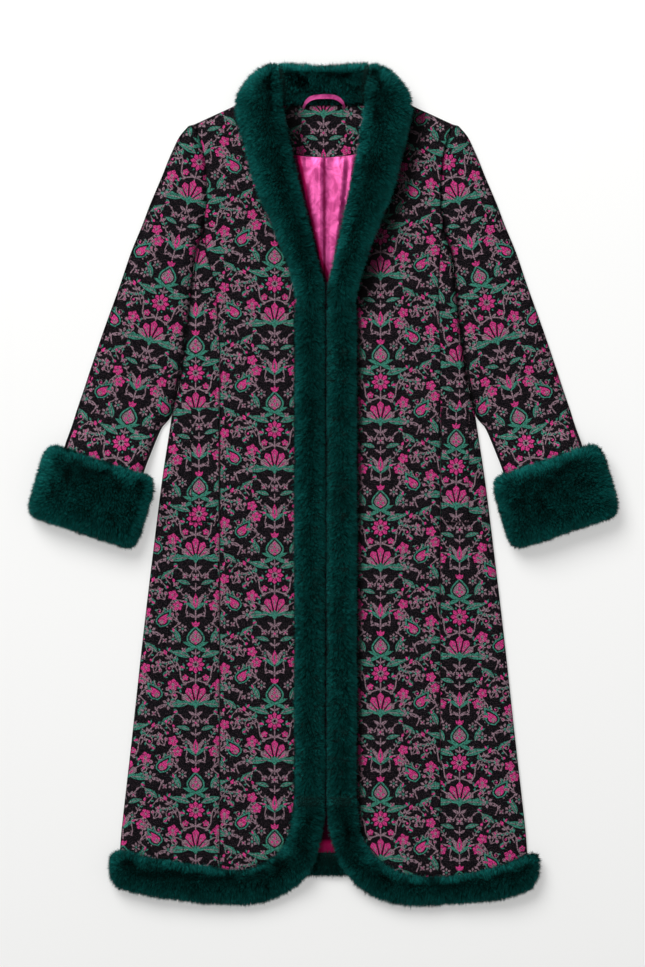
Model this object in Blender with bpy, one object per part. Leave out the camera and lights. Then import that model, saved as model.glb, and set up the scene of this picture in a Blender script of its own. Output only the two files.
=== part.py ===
"""A long opera coat laid flat on its back: patterned cloth, satin lining and deep fur trim.

The coat lies on z = 0 with the collar toward +y, the hem toward -y and its front up. Sizes are
in millimetres. Distances named d are measured sideways from the centre line, the same on both sides.
"""

import bmesh
import bpy
import numpy as np

MM = 0.001

# Cloth layers, from the surface up.
BACK_WALL = 3.0
LINING_LOW = 3.4
LINING_WALL = 1.0
FACING_WALL = 1.2
FRONT_LOW = 7.8
FRONT_WALL = 3.0
SLEEVE_LOW = 6.9
SLEEVE_WALL = 3.0
EDGE_WALL = 1.4
LAYER_GAP = 0.4
SEAM_GAP = 0.3
TRIM_GAP = 0.5
FRONT_TOP = FRONT_LOW + FRONT_WALL

# The folded edges at the side seams and along the shoulders and sleeves.
SIDE_ROLL = 14.0
SLEEVE_ROLL = 22.0
UNDERARM_Y = 340.0
SHOULDER_RISE = 27.0 / 59.0

# The front opening lies a little to the right of the centre line.
OPENING_X = 3.5
OPENING_GAP = 1.0
BAND_WIDTH = 45.5
BAND_TOP_Y = 261.0
BAND_END_Y = -467.0
BAND_HEIGHT = 23.0

# The long front seams, from the armholes to the hem.
SEAM_LEFT = 153.0
SEAM_RIGHT = 172.0

NECK_Y = 557.0
BACK_END_Y = -547.0
WELT_WIDTH = 41.0
WELT_WALL = 1.8
WELT_GAP = 0.7
WELT_TOP_Y = 112.0
WELT_END_Y = -57.0

FACING_HALF = 84.0
FACING_END_Y = 481.0
LINING_TOP_HALF = 110.0
# The middle of the lining falls straight; beyond this share of its half breadth it flares.
LINING_STRAIGHT = 0.46
LINING_FLARE = 268.0

LOOP_WIDTH = 6.0
LOOP_WALL = 1.6


def columns(names, *rows):
    """Returns the rows of a table as one array for each named column."""
    return {name: np.array([row[i] for row in rows], float) for i, name in enumerate(names.split())}


BODY = columns(
    "y half",
    (585, 68), (571, 99), (557, 130), (543.5, 160), (530, 189), (513, 184), (495, 179),
    (477, 175), (455, 173), (433, 172), (408, 173), (384, 176), (362, 181), (340, 189),
    (330, 190), (247, 199), (145, 212), (116, 221), (79, 227), (7, 238), (-113, 253),
    (-231, 267), (-378, 283), (-511, 298), (-550, 301))
COLLAR = columns(
    "inner_d inner_y outer_d outer_y low high",
    (66, 619, 78, 620, 0, 9), (64.5, 613, 95, 611, 0, 27), (62.5, 604, 111, 597, 0, 38),
    (61, 592, 124, 579, 0, 43), (60.3, 586.5, 128.5, 570, 11.4, 31), (59, 557, 131, 548, 11.4, 31),
    (54, 524, 126, 524, 11.4, 31), (48, 492, 118, 496, 11.4, 31), (34, 426, 104, 441, 11.4, 31),
    (18, 356, 80, 383, 11.4, 30), (8, 315, 60, 333, 11.4, 29), (2, 289, 47, 290, 11.4, 27),
    (1.4, 272, 44.5, 271, 11.4, 24), (1.4, 263, 43, 262.4, 11.4, 18))
COLLAR_BACK = columns(
    "y z",
    (558, 3.8), (587, 3.8), (590, 0), (615, 0), (619.5, 8), (618, 23), (610, 32), (598, 29),
    (582, 19), (567, 12), (558.4, 9))
SLEEVE = columns(
    "inner_d inner_y outer_d outer_y lift",
    (189, 530, 199, 527, 0), (184, 513, 212, 512, 0), (179, 495, 221, 494, 0), (175, 477, 229, 476, 0),
    (173, 455, 238, 453, 0), (172, 433, 247, 432, 0), (173, 408, 257, 408, 0), (176, 384, 266, 384, 0),
    (181, 362, 275, 362, 0), (189, 340, 284, 340, 0), (194, 290, 301, 290, 0), (202, 226, 324, 226, 0),
    (209, 167, 343, 170, 0), (216, 137, 353.5, 138, 0), (227, 105, 364, 107, 0), (242, 74, 370.5, 86, 2.5),
    (255, 42, 376, 70, 10), (262.5, 22, 379.5, 60, 14.1), (279, -34, 395, 5, 14.1),
    (294.5, -86, 410.5, -47, 14.1))
CUFF = columns(
    "along half rise",
    (-56, 68, 0.25), (-54, 75, 0.55), (-48, 82, 0.84), (-34, 85.3, 1), (0, 85.5, 1), (34, 85.3, 1),
    (47, 83, 0.86), (54, 77, 0.58), (56, 69, 0.25))
CUFF_UPPER_LOW = 19.2
CUFF_UNDER_HIGH = 18.8
CUFF_UPPER = columns(
    "across z",
    (-1, CUFF_UPPER_LOW), (-1, 28), (-0.94, 37), (-0.8, 43), (-0.4, 46), (0.4, 46), (0.8, 43), (0.94, 37),
    (1, 28), (1, CUFF_UPPER_LOW))
CUFF_UNDER = columns(
    "across z",
    (1, CUFF_UNDER_HIGH), (1, 8), (0.95, 2), (0.88, 0), (-0.88, 0), (-0.95, 2), (-1, 8),
    (-1, CUFF_UNDER_HIGH))
CUFF_SLOT_HALF = 65.0
CUFF_SLOT_LOW = 13.6
CUFF_SLOT_HIGH = 24.5
CUFF_CENTRE = np.array((341.7, -19.0))
CUFF_ACROSS = np.array((0.949, 0.315))
CUFF_DOWN = np.array((0.279, -0.960))

HEM_LEFT = columns(
    "slit_x slit_y cloth_x cloth_y slit_low cloth_low high",
    (2.5, -467.5, -42, -467.5, 4.9, 4.9, 23), (0, -490, -46, -493, 4.9, 4.9, 23),
    (-5, -517, -52, -523, 6, 5.5, 23), (-13, -550, -64, -544, 14.7, 8, 20),
    (-24, -578, -79, -556, 14.5, 8.2, 21), (-51, -600, -97, -565, 4, 8.2, 24),
    (-84, -616, -111, -570, 0, 8.1, 25), (-123, -622, -131, -572, 0, 8.1, 26),
    (-172, -619, -172, -566, 3.5, 8.1, 26), (-223, -614, -223, -558, 7, 8.1, 26),
    (-259, -608, -259, -553, 8.1, 8.1, 26), (-291, -601, -294, -542, 8.1, 8.1, 26),
    (-305, -595, -308, -543, 8.1, 8.1, 23), (-314, -584, -316, -552, 8.1, 8.1, 15))
HEM_RIGHT = columns(
    "slit_x slit_y cloth_x cloth_y slit_low cloth_low high",
    (5, -467.5, 49, -467.5, 4.9, 4.9, 23), (8, -489, 51, -493, 4.9, 4.9, 23),
    (12, -517, 55, -520, 6, 5.5, 23), (22, -550, 69, -544, 14.7, 8, 20),
    (37, -577, 83, -558, 14.3, 8.2, 21), (56, -597, 98, -569, 3.5, 8.2, 24),
    (86, -613, 116, -576, 0, 8.1, 25), (120, -622, 136, -580, 0, 8.1, 26),
    (172, -622, 172, -582, 0, 8.1, 26), (223, -618, 223, -575, 2, 8.1, 26),
    (268, -611, 265, -564, 6, 8.1, 26), (296, -603, 298, -549, 8.1, 8.1, 26),
    (309, -594, 311, -545, 8.1, 8.1, 23), (317, -580, 319, -554, 8.1, 8.1, 15))
HEM_BACK = columns(
    "x upper lower high",
    (-301, -552, -575, 5), (-292, -549, -580, 7.3), (-220, -548, -581, 7.3), (-120, -548, -581, 7.3),
    (-66, -548, -581, 7.3), (-34, -548, -581, 12.5), (-14, -548, -581, 14), (20, -548, -581, 14),
    (38, -548, -581, 12.5), (66, -548, -581, 7.3), (120, -548, -581, 7.3), (220, -548, -581, 7.3),
    (292, -549, -580, 7.3), (301, -552, -575, 5))
FUR_SECTION = columns(
    "across rise",
    (-0.93, 0), (-1, 0.34), (-0.87, 0.73), (-0.5, 0.95), (0, 1), (0.5, 0.95), (0.87, 0.73),
    (1, 0.34), (0.93, 0), (0, 0))

# Soft troughs pressed into the fronts: d and y of both ends, half breadth and depth.
FRONT_FOLDS = columns(
    "d0 y0 d1 y1 breadth depth",
    (150, 330, 128, 120, 16, 2.2), (196, 210, 190, 128, 10, 1.6), (205, -90, 240, -420, 18, 2.3),
    (120, -60, 112, -330, 17, 1.8), (262, -230, 284, -500, 12, 2.0), (160, -260, 172, -520, 15, 1.7))
# Soft ridges of the lining where it shows in the neck, likewise.
LINING_FOLDS = columns(
    "x0 y0 x1 y1 breadth height",
    (-38, 474, -18, 360, 6, 1.9), (32, 470, 22, 330, 5, 1.7), (-22, 440, -9, 300, 5, 1.3))
LOOP = columns(
    "x y z",
    (-29, 553, 5.25), (-28, 556, 11.6), (-25.5, 560.5, 15.2), (-20, 565.5, 17), (-11, 569, 18),
    (0, 570, 18.4), (12, 569, 18), (21, 565.5, 17), (26.5, 560.5, 15.2), (29, 556, 11.6), (30, 553, 5.25))
# The upper part of each front: its edge under the collar, measured from the opening, and the seam
# at the armhole, measured from the centre line.
FRONT_UPPER = columns(
    "edge_d edge_y seam_d seam_y",
    (68, 585, 189, 530), (66, 573, 184, 513), (64, 558, 179, 495), (60, 536, 175, 477),
    (56, 512, 173, 455), (51, 486, 172, 433), (45, 458, 173, 408), (38, 426, 176, 384))
# The fronts from the armhole down to the top of the fur bands, likewise.
FRONT_LAPEL = columns(
    "edge_d edge_y seam_y",
    (30, 392, 362), (22, 356, 340), (14, 318, 312), (14, 296, 290), (24, 271, 274),
    (BAND_WIDTH + 0.9, 264, 262))
# Heights of the crosswise lines of the lower fronts, the side panels and the fur bands.
FRONT_ROWS = (200, 110, 30, -60, -150, -240, -320, -400, -450)
SIDE_ROWS = (370, 356, 340, 315, 290, 245, 200, 150, 110, 60, 0, -60, -130, -200, -270, -340, -410,
             -470, -510)
BAND_ROWS = (BAND_TOP_Y, 254, 240, 180, 100, 20, -60, -140, -220, -300, -380, BAND_END_Y)
# Places of the lengthwise lines of the lining, closest at the pleat.
LINING_LINES = (-1, -0.72, -0.5, -0.34, -0.2, -0.12, -0.05, 0.0, 0.018, 0.1, 0.2, 0.3, 0.45, 0.7, 1)
LINING_ROWS = (0, 0.035, 0.07, 0.11, 0.15, 0.18, 0.215, 0.35, 0.55, 0.78, 1)


def clear_scene():
    """Removes every object of the opening file."""
    for item in list(bpy.data.objects):
        bpy.data.objects.remove(item, do_unlink=True)


def make_material(name, colour, roughness):
    """Makes one plain surface colour."""
    material = bpy.data.materials.new(name)
    material.use_nodes = True
    surface = material.node_tree.nodes["Principled BSDF"]
    surface.inputs["Base Color"].default_value = (*colour, 1.0)
    surface.inputs["Roughness"].default_value = roughness
    return material


JACQUARD = ("jacquard", (0.035, 0.03, 0.036), 0.8)
FUR = ("fur", (0.004, 0.075, 0.06), 0.9)
SATIN = ("satin", (0.6, 0.05, 0.28), 0.35)


def closed_mesh(name, points, faces, slot):
    """Makes one closed solid from points in millimetres."""
    mesh = bpy.data.meshes.new(name)
    mesh.from_pydata([tuple(np.asarray(p, float) * MM) for p in points], [], faces)
    work = bmesh.new()
    work.from_mesh(mesh)
    bmesh.ops.triangulate(work, faces=work.faces[:])
    bmesh.ops.recalc_face_normals(work, faces=work.faces[:])
    work.to_mesh(mesh)
    work.free()
    item = bpy.data.objects.new(name, mesh)
    mesh.materials.append(make_material(name + "_" + slot[0], slot[1], slot[2]))
    bpy.context.scene.collection.objects.link(item)
    return item


def grid_wall(name, upper, lower, slot):
    """Makes a wall of cloth from two grids of points, its outer face and its inner face."""
    rows, count = upper.shape[:2]
    points = np.vstack((upper.reshape(-1, 3), lower.reshape(-1, 3)))
    shift = rows * count
    faces = []
    for i in range(rows - 1):
        for j in range(count - 1):
            a, b = i * count + j, (i + 1) * count + j
            faces.append((a, a + 1, b + 1, b))
            faces.append((shift + a, shift + b, shift + b + 1, shift + a + 1))
    rim = [(0, j) for j in range(count - 1)] + [(i, count - 1) for i in range(rows - 1)]
    rim += [(rows - 1, j) for j in range(count - 1, 0, -1)] + [(i, 0) for i in range(rows - 1, 0, -1)]
    ring = [i * count + j for i, j in rim]
    for a, b in zip(ring, ring[1:] + ring[:1]):
        faces.append((a, shift + a, shift + b, b))
    return closed_mesh(name, points, faces, slot)


def ring_loft(name, rings, slot):
    """Makes a solid through rings of equally many points, closed at both ends."""
    count = len(rings[0])
    points = [p for ring in rings for p in ring]
    faces = [tuple(range(count))]
    for i in range(len(rings) - 1):
        for j in range(count):
            k = (j + 1) % count
            faces.append((i * count + j, i * count + k, (i + 1) * count + k, (i + 1) * count + j))
    faces.append(tuple(range((len(rings) - 1) * count, len(rings) * count)))
    return closed_mesh(name, points, faces, slot)


def cloth(name, edge_a, edge_b, shares, top, wall, slot=JACQUARD):
    """Makes a panel between two edge lines; shares place its lengthwise lines between them."""
    edge_a, edge_b, shares = np.asarray(edge_a), np.asarray(edge_b), np.asarray(shares)
    plan = edge_a[:, None] + (edge_b - edge_a)[:, None] * shares[None, :, None]
    high = np.vectorize(top)(plan[..., 0], plan[..., 1])
    deep = np.vectorize(wall)(plan[..., 0], plan[..., 1])
    return grid_wall(name, np.dstack((plan, high)), np.dstack((plan, high - deep)), slot)


def fold(folds, size, x, y, names):
    """Returns the height of soft folds at a place, each one fading at both ends."""
    total = 0.0
    for i in range(folds[size].size):
        start = np.array((folds[names[0]][i], folds[names[1]][i]))
        run = np.array((folds[names[2]][i], folds[names[3]][i])) - start
        reach = np.array((x, y)) - start
        along = float(reach @ run / (run @ run))
        aside = abs(reach[0] * run[1] - reach[1] * run[0]) / np.linalg.norm(run)
        if 0.0 < along < 1.0:
            total += folds[size][i] * np.sin(np.pi * along) * np.exp(-(aside / folds["breadth"][i]) ** 2)
    return total


def body_half(y):
    """Returns the half breadth of the laid body at a height."""
    return float(np.interp(-y, -BODY["y"], BODY["half"]))


def edge_share(reach, roll):
    """Returns 1 at a folded edge, falling to 0 where the cloth lies level."""
    return (1.0 - min(1.0, max(0.0, reach / roll))) ** 2


def front_edge(x, y):
    """Returns how far a place on the fronts has rolled over at the side or the shoulder."""
    blend = min(1.0, max(0.0, (UNDERARM_Y - y) / 40.0))
    side = edge_share(body_half(y) - abs(x), SIDE_ROLL) * blend
    shoulder = NECK_Y - (abs(x) - 130.0) * SHOULDER_RISE - y
    fade = min(1.0, max(0.0, (abs(x) - 132.0) / 12.0)) if y > 480.0 else 0.0
    return max(side, edge_share(shoulder, SIDE_ROLL) * fade)


def front_top(x, y):
    """Returns the height of the outer face of the fronts."""
    folds = fold(FRONT_FOLDS, "depth", abs(x), y, ("d0", "y0", "d1", "y1"))
    edge = front_edge(x, y)
    return FRONT_TOP - 6.0 * edge - folds * (1.0 - edge)


def front_wall(x, y):
    """Returns the thickness of the fronts, thinner where the edge is pressed."""
    return FRONT_WALL - (FRONT_WALL - EDGE_WALL) * front_edge(x, y)


def lining_top(x, y):
    """Returns the height of the lining with its centre pleat and soft ridges."""
    shown = min(1.0, max(0.0, (y - BAND_TOP_Y) / 40.0))
    pleat = 1.5 * shown * np.exp(-((x + 5.0) / 7.0) ** 2) if x < 1.5 else 0.0
    ridges = fold(LINING_FOLDS, "height", x, y, ("x0", "y0", "x1", "y1"))
    return LINING_LOW + LINING_WALL + min(2.6, pleat + ridges)


def opening_shift(y):
    """Returns how far the front opening stands from the centre line at a height."""
    return OPENING_X * min(1.0, max(0.0, (NECK_Y - y) / (NECK_Y - 300.0)))


def side_name(side):
    """Names the side as seen from the front."""
    return "left" if side < 0 else "right"


def fur_roll(name, edge_a, edge_b, low_a, low_b, high):
    """Makes a strip of fur with a level or tilted foot and a domed top between two edge lines."""
    rings = []
    for a, b, za, zb, h in zip(edge_a, edge_b, low_a, low_b, high):
        middle, half = (a + b) / 2.0, (b - a) / 2.0
        ring = []
        for across, rise in zip(FUR_SECTION["across"], FUR_SECTION["rise"]):
            foot = za + (zb - za) * (across + 1.0) / 2.0
            ring.append((*(middle + half * across), foot + rise * h))
        rings.append(ring)
    return ring_loft(name, rings, FUR)


def smooth_rows(table, keys, extra):
    """Adds rows between the rows of a table along a curve through them."""
    knots = np.arange(table[keys[0]].size, dtype=float)
    at = np.linspace(0.0, knots[-1], (knots.size - 1) * extra + 1)
    result = {}
    for key in table:
        value = table[key]
        if key in keys:
            slope = np.gradient(value)
            i = np.minimum(at.astype(int), knots.size - 2)
            t = at - i
            result[key] = ((1 + 2 * t) * (1 - t) ** 2 * value[i] + t * (1 - t) ** 2 * slope[i]
                           + t * t * (3 - 2 * t) * value[i + 1] + t * t * (t - 1) * slope[i + 1])
        else:
            result[key] = np.interp(at, knots, value)
    return result


def pair(table, x, y):
    """Joins two columns into points."""
    return np.column_stack((table[x], table[y]))


def facing_edge(x):
    """Returns the lower edge of the neck facing, a shallow curve."""
    return FACING_END_Y + 6.5 * np.minimum(1.5, np.abs(x / 56.0)) ** 2


def build_back():
    """Makes the back, the lining on it, the neck facing and the hanger loop."""
    half = BODY["half"] - 0.2
    keep = BODY["y"] > BACK_END_Y
    y = np.append(BODY["y"][keep], BACK_END_Y)
    half = np.append(half[keep], body_half(BACK_END_Y) - 0.2)
    cloth("back", np.column_stack((-half, y)), np.column_stack((half, y)),
          (0, 0.2, 0.4, 0.6, 0.8, 1), lambda x, y: BACK_WALL, lambda x, y: BACK_WALL)

    x = np.array(LINING_LINES) * LINING_TOP_HALF
    top_edge = np.column_stack((x, facing_edge(x) - SEAM_GAP))
    flare = np.maximum(0.0, np.abs(LINING_LINES) - LINING_STRAIGHT) * LINING_FLARE
    end_edge = np.column_stack((x + np.sign(x) * flare, np.full(x.size, BACK_END_Y)))
    cloth("lining_back", top_edge, end_edge, LINING_ROWS, lining_top, lambda x, y: LINING_WALL, SATIN)

    x = np.linspace(-FACING_HALF, FACING_HALF, 13)
    lower, upper = np.column_stack((x, facing_edge(x))), np.column_stack((x, np.full(x.size, NECK_Y)))
    cloth("back_neck_facing", lower, upper, (0, 0.5, 1),
          lambda x, y: LINING_LOW + FACING_WALL, lambda x, y: FACING_WALL)

    path = np.column_stack((LOOP["x"], LOOP["y"], LOOP["z"]))
    run = np.gradient(path, axis=0)
    run /= np.linalg.norm(run, axis=1)[:, None]
    broad = np.cross(run, (0.0, 0.0, 1.0))
    broad /= np.linalg.norm(broad, axis=1)[:, None]
    thin = np.cross(broad, run)
    rings = []
    for place, b, t in zip(path, broad, thin):
        corners = ((-1, -1), (1, -1), (1, 1), (-1, 1))
        rings.append([place + b * LOOP_WIDTH / 2 * i + t * LOOP_WALL / 2 * j for i, j in corners])
    ring_loft("hanger_loop", rings, SATIN)


def seam_line(side, y):
    """Returns the distance of the long front seam from the centre line."""
    straight = SEAM_LEFT if side < 0 else SEAM_RIGHT
    places = (176.0, 172.0, (straight + 166.0) / 2.0, straight, straight)
    return float(np.interp(-y, (-384, -340, -290, -200, 600), places))


def hem_of(side):
    """Returns the smooth rows of the front hem fur on one side."""
    table = HEM_LEFT if side < 0 else HEM_RIGHT
    return smooth_rows(table, ("slit_x", "slit_y", "cloth_x", "cloth_y"), 2)


def hem_line(side, x):
    """Returns the height at which the cloth of a front meets the hem fur."""
    hem = hem_of(side)
    spread = hem["cloth_x"] * side
    keep = np.append(True, np.diff(np.maximum.accumulate(spread)) > 0)
    return float(np.interp(x * side, spread[keep], hem["cloth_y"][keep])) + TRIM_GAP + SEAM_GAP


def build_fronts(side):
    """Makes the two panels of one front, the pocket welt and the fur along the opening and the hem."""
    name = side_name(side)
    hem = hem_of(side)
    corner = pair(hem, "cloth_x", "cloth_y")
    step = np.gradient(corner, axis=0)
    away = np.column_stack((-step[:, 1], step[:, 0])) * side
    away /= np.linalg.norm(away, axis=1)[:, None]
    corner = corner + away * (TRIM_GAP + SEAM_GAP)

    edge_a, edge_b = [], []
    for d, y, seam_d, seam_y in zip(*FRONT_UPPER.values()):
        edge_a.append((opening_shift(y) + side * d, y))
        edge_b.append((side * seam_d, seam_y))
    for d, y, seam_y in zip(*FRONT_LAPEL.values()):
        edge_a.append((opening_shift(y) + side * d, y))
        edge_b.append((side * seam_line(side, seam_y), seam_y))
    for y in FRONT_ROWS:
        edge_a.append((OPENING_X + side * (BAND_WIDTH + 0.9), y))
        edge_b.append((side * seam_line(side, y), y))
    last = int(np.argmin(np.abs(np.abs(corner[:, 0]) - 112.0)))
    end_y = hem_line(side, side * seam_line(side, -500))
    for i in range(1, last + 1):
        share = i / last
        edge_a.append(tuple(corner[i]))
        edge_b.append((side * seam_line(side, -500), -462.0 + (end_y + 462.0) * share ** 0.8))
    shares = (0, 0.06, 0.2, 0.36, 0.52, 0.68, 0.84, 1)
    edge_a, edge_b = np.array(edge_a), np.array(edge_b)
    edge_b[:, 0] -= side * SEAM_GAP / 2
    panel(name, "front_center_", side, edge_a, edge_b, shares)

    edge_a = [(side * (seam_line(side, y) + SEAM_GAP / 2), y) for y in SIDE_ROWS]
    edge_b = [(side * (body_half(y) - 0.3), y) for y in SIDE_ROWS]
    inner_end = side * (seam_line(side, -500) + SEAM_GAP / 2)
    outer_end = side * (body_half(-535) - 0.3)
    edge_a.append((inner_end, hem_line(side, inner_end)))
    edge_b.append((outer_end, hem_line(side, outer_end)))
    panel(name, "front_side_", side, np.array(edge_a), np.array(edge_b), (0, 0.3, 0.58, 0.78, 0.88, 0.95, 1))

    start = side * (seam_line(side, 0) + 1.0)
    y = np.linspace(WELT_TOP_Y, WELT_END_Y, 9)
    edge_a = np.column_stack((np.full(9, start), y))
    edge_b = np.column_stack((np.full(9, start + side * WELT_WIDTH), y))
    cloth("pocket_welt_" + name, edge_a, edge_b, (0, 0.05, 0.5, 0.95, 1),
          lambda x, y: front_top(x, y) + WELT_GAP + WELT_WALL, lambda x, y: WELT_WALL)

    y = np.array(BAND_ROWS)
    near = np.column_stack((np.full(y.size, OPENING_X + side * OPENING_GAP), y))
    far = np.column_stack((np.full(y.size, OPENING_X + side * BAND_WIDTH), y))
    high = np.full(y.size, BAND_HEIGHT)
    high[:2] = (14, 20)
    low = np.full(y.size, LINING_LOW + LINING_WALL + LAYER_GAP)
    fur_roll("front_band_" + name, near, far, low, low, high)
    fur_roll("hem_front_" + name, pair(hem, "slit_x", "slit_y"), pair(hem, "cloth_x", "cloth_y"),
             hem["slit_low"], hem["cloth_low"], hem["high"])


def panel(name, kind, side, edge_a, edge_b, shares):
    """Makes a front panel whose last rows settle onto the line of the hem fur."""
    shares = np.asarray(shares)
    plan = edge_a[:, None] + (edge_b - edge_a)[:, None] * shares[None, :, None]
    ends = np.array([hem_line(side, x) for x in plan[-1, :, 0]]) - plan[-1, :, 1]
    ends[0] = 0.0
    for back, weight in enumerate((1.0, 0.6, 0.3)):
        plan[-1 - back, :, 1] += ends * weight
    high = np.vectorize(front_top)(plan[..., 0], plan[..., 1])
    deep = np.vectorize(front_wall)(plan[..., 0], plan[..., 1])
    grid_wall(kind + name, np.dstack((plan, high)), np.dstack((plan, high - deep)), JACQUARD)


def build_sleeve(side):
    """Makes the upper and the under sleeve and the two halves of the fur cuff."""
    name = side_name(side)
    inner, outer = pair(SLEEVE, "inner_d", "inner_y"), pair(SLEEVE, "outer_d", "outer_y")
    run = outer - inner
    unit = run / np.linalg.norm(run, axis=1)[:, None]
    inner = inner + unit * SEAM_GAP
    shares = np.array((0, 0.05, 0.12, 0.3, 0.5, 0.7, 0.85, 0.94, 1))
    upper, lower, under_top, under_low = [], [], [], []
    for i, (a, b) in enumerate(zip(inner, outer)):
        broad = np.linalg.norm(b - a)
        lift = SLEEVE["lift"][i]
        free = min(1.0, max(0.0, (UNDERARM_Y - a[1]) / 40.0)) * (1.0 if lift < 14 else 0.6)
        rows = [[], [], [], []]
        for s in shares:
            x, y = a + (b - a) * s
            outer_roll = edge_share(broad * (1 - s), min(SLEEVE_ROLL, broad / 2))
            roll = max(outer_roll, edge_share(broad * s, SIDE_ROLL) * free)
            top = SLEEVE_LOW + SLEEVE_WALL - 5.1 * roll + lift
            rows[0].append((side * x, y, top))
            rows[1].append((side * x, y, top - SLEEVE_WALL + (SLEEVE_WALL - EDGE_WALL) * roll))
            rows[2].append((side * x, y, BACK_WALL + lift))
            rows[3].append((side * x, y, lift))
        upper.append(rows[0])
        lower.append(rows[1])
        under_top.append(rows[2])
        under_low.append(rows[3])
    grid_wall("sleeve_upper_" + name, np.array(upper), np.array(lower), JACQUARD)
    pick = [0, 3, 5, 8]
    grid_wall("sleeve_under_" + name, np.array(under_top)[:, pick], np.array(under_low)[:, pick], JACQUARD)

    slot = {"upper": ((1, CUFF_UPPER_LOW), (1, CUFF_SLOT_HIGH), (-1, CUFF_SLOT_HIGH), (-1, CUFF_UPPER_LOW)),
            "under": ((-1, CUFF_UNDER_HIGH), (-1, CUFF_SLOT_LOW), (1, CUFF_SLOT_LOW), (1, CUFF_UNDER_HIGH))}
    for part, section in (("upper", CUFF_UPPER), ("under", CUFF_UNDER)):
        rings = []
        for along, half, rise in zip(CUFF["along"], CUFF["half"], CUFF["rise"]):
            ring = []
            for across, z in zip(section["across"], section["z"]):
                x, y = CUFF_CENTRE + CUFF_DOWN * along + CUFF_ACROSS * half * across
                ring.append((side * x, y, 26.0 + (z - 26.0) * rise if z > 26.0 else z))
            for across, z in slot[part]:
                x, y = CUFF_CENTRE + CUFF_DOWN * along + CUFF_ACROSS * CUFF_SLOT_HALF * across
                ring.append((side * x, y, z))
            rings.append(ring)
        ring_loft("cuff_" + part + "_" + name, rings, FUR)


def build_collar():
    """Makes the two fronts of the shawl collar and its stand behind the neck."""
    table = smooth_rows(COLLAR, ("inner_d", "inner_y", "outer_d", "outer_y"), 2)
    for side in (-1, 1):
        shift = np.array([opening_shift(y) for y in table["inner_y"]])
        near = np.column_stack((shift + side * table["inner_d"], table["inner_y"]))
        far = np.column_stack((shift + side * table["outer_d"], table["outer_y"]))
        fur_roll("collar_" + side_name(side), near, far, table["low"], table["low"], table["high"])
    rings = []
    for share in np.linspace(-1.0, 1.0, 11):
        ring = []
        for y, z in zip(COLLAR_BACK["y"], COLLAR_BACK["z"]):
            reach = np.interp(y, (557, 586, 601, 622), (57.6, 58.8, 60.0, 61.4))
            dip = 4.0 * (1.0 - share ** 2) * max(0.0, (y - 590.0) / 30.0)
            ring.append((share * reach, y - dip, z))
        rings.append(ring)
    ring_loft("collar_back", rings, FUR)


def build_hem_back():
    """Makes the fur along the back hem, pressed flat where the fronts lie on it."""
    near = pair(HEM_BACK, "x", "upper")
    far = pair(HEM_BACK, "x", "lower")
    low = np.zeros(near.shape[0])
    fur_roll("hem_back", near, far, low, low, HEM_BACK["high"])


def centre_coat():
    """Moves the coat so that the middle of its box lies on the origin in plan."""
    items = [item for item in bpy.data.objects if item.type == "MESH"]
    points = np.array([v.co for item in items for v in item.data.vertices])
    middle = (points.min(axis=0) + points.max(axis=0)) / 2.0
    for item in items:
        for v in item.data.vertices:
            v.co.x -= middle[0]
            v.co.y -= middle[1]


def main():
    """Builds the coat."""
    clear_scene()
    build_back()
    build_collar()
    build_hem_back()
    for side in (-1, 1):
        build_fronts(side)
        build_sleeve(side)
    centre_coat()


main()
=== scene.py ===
"""A long opera coat laid flat on its back: floral jacquard, deep faux fur trim and a satin lining.

The coat lies on z = 0 with its collar toward +y and its front up. Sizes in the classes are in
millimetres, and the meshes are in metres.
"""

import logging
import math
from dataclasses import dataclass, field
from enum import Enum
from typing import Any, NamedTuple, Optional, Sequence

import bpy
import numpy as np
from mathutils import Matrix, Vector
from mathutils.bvhtree import BVHTree
from mathutils.geometry import delaunay_2d_cdt
from mathutils.kdtree import KDTree


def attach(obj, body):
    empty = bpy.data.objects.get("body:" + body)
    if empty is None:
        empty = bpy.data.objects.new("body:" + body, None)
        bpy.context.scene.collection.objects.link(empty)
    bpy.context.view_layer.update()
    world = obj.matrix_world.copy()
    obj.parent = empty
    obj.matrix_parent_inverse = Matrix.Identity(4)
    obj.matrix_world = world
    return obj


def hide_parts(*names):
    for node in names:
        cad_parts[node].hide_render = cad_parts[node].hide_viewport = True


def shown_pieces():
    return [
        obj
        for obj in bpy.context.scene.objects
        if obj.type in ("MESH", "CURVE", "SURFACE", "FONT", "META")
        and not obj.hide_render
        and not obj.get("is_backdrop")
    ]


LOG = logging.getLogger("opera_coat")
MM = 0.001
FAR = 1000.0
TINY = 1e-9
GOLDEN_TURN = 2.4

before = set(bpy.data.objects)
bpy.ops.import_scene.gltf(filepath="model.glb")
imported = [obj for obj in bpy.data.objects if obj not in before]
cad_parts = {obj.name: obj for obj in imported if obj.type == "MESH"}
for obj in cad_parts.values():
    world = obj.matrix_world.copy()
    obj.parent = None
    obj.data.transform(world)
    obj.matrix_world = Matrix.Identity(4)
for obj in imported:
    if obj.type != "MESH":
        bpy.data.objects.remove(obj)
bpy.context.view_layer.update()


class Face(Enum):
    """The side of a laid panel that shows the right side of the cloth."""

    UP = 1
    DOWN = -1


class Yarn(Enum):
    """The yarns of the jacquard, by their sRGB colours."""

    GROUND = "#0F0E12"
    PINK = "#E23C8E"
    TEAL = "#36907A"
    MAUVE = "#9C7F8B"


class Patch(NamedTuple):
    """One area of a woven motif: its outline in millimetres and the yarn that shows there."""

    points: np.ndarray
    yarn: Yarn


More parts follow.
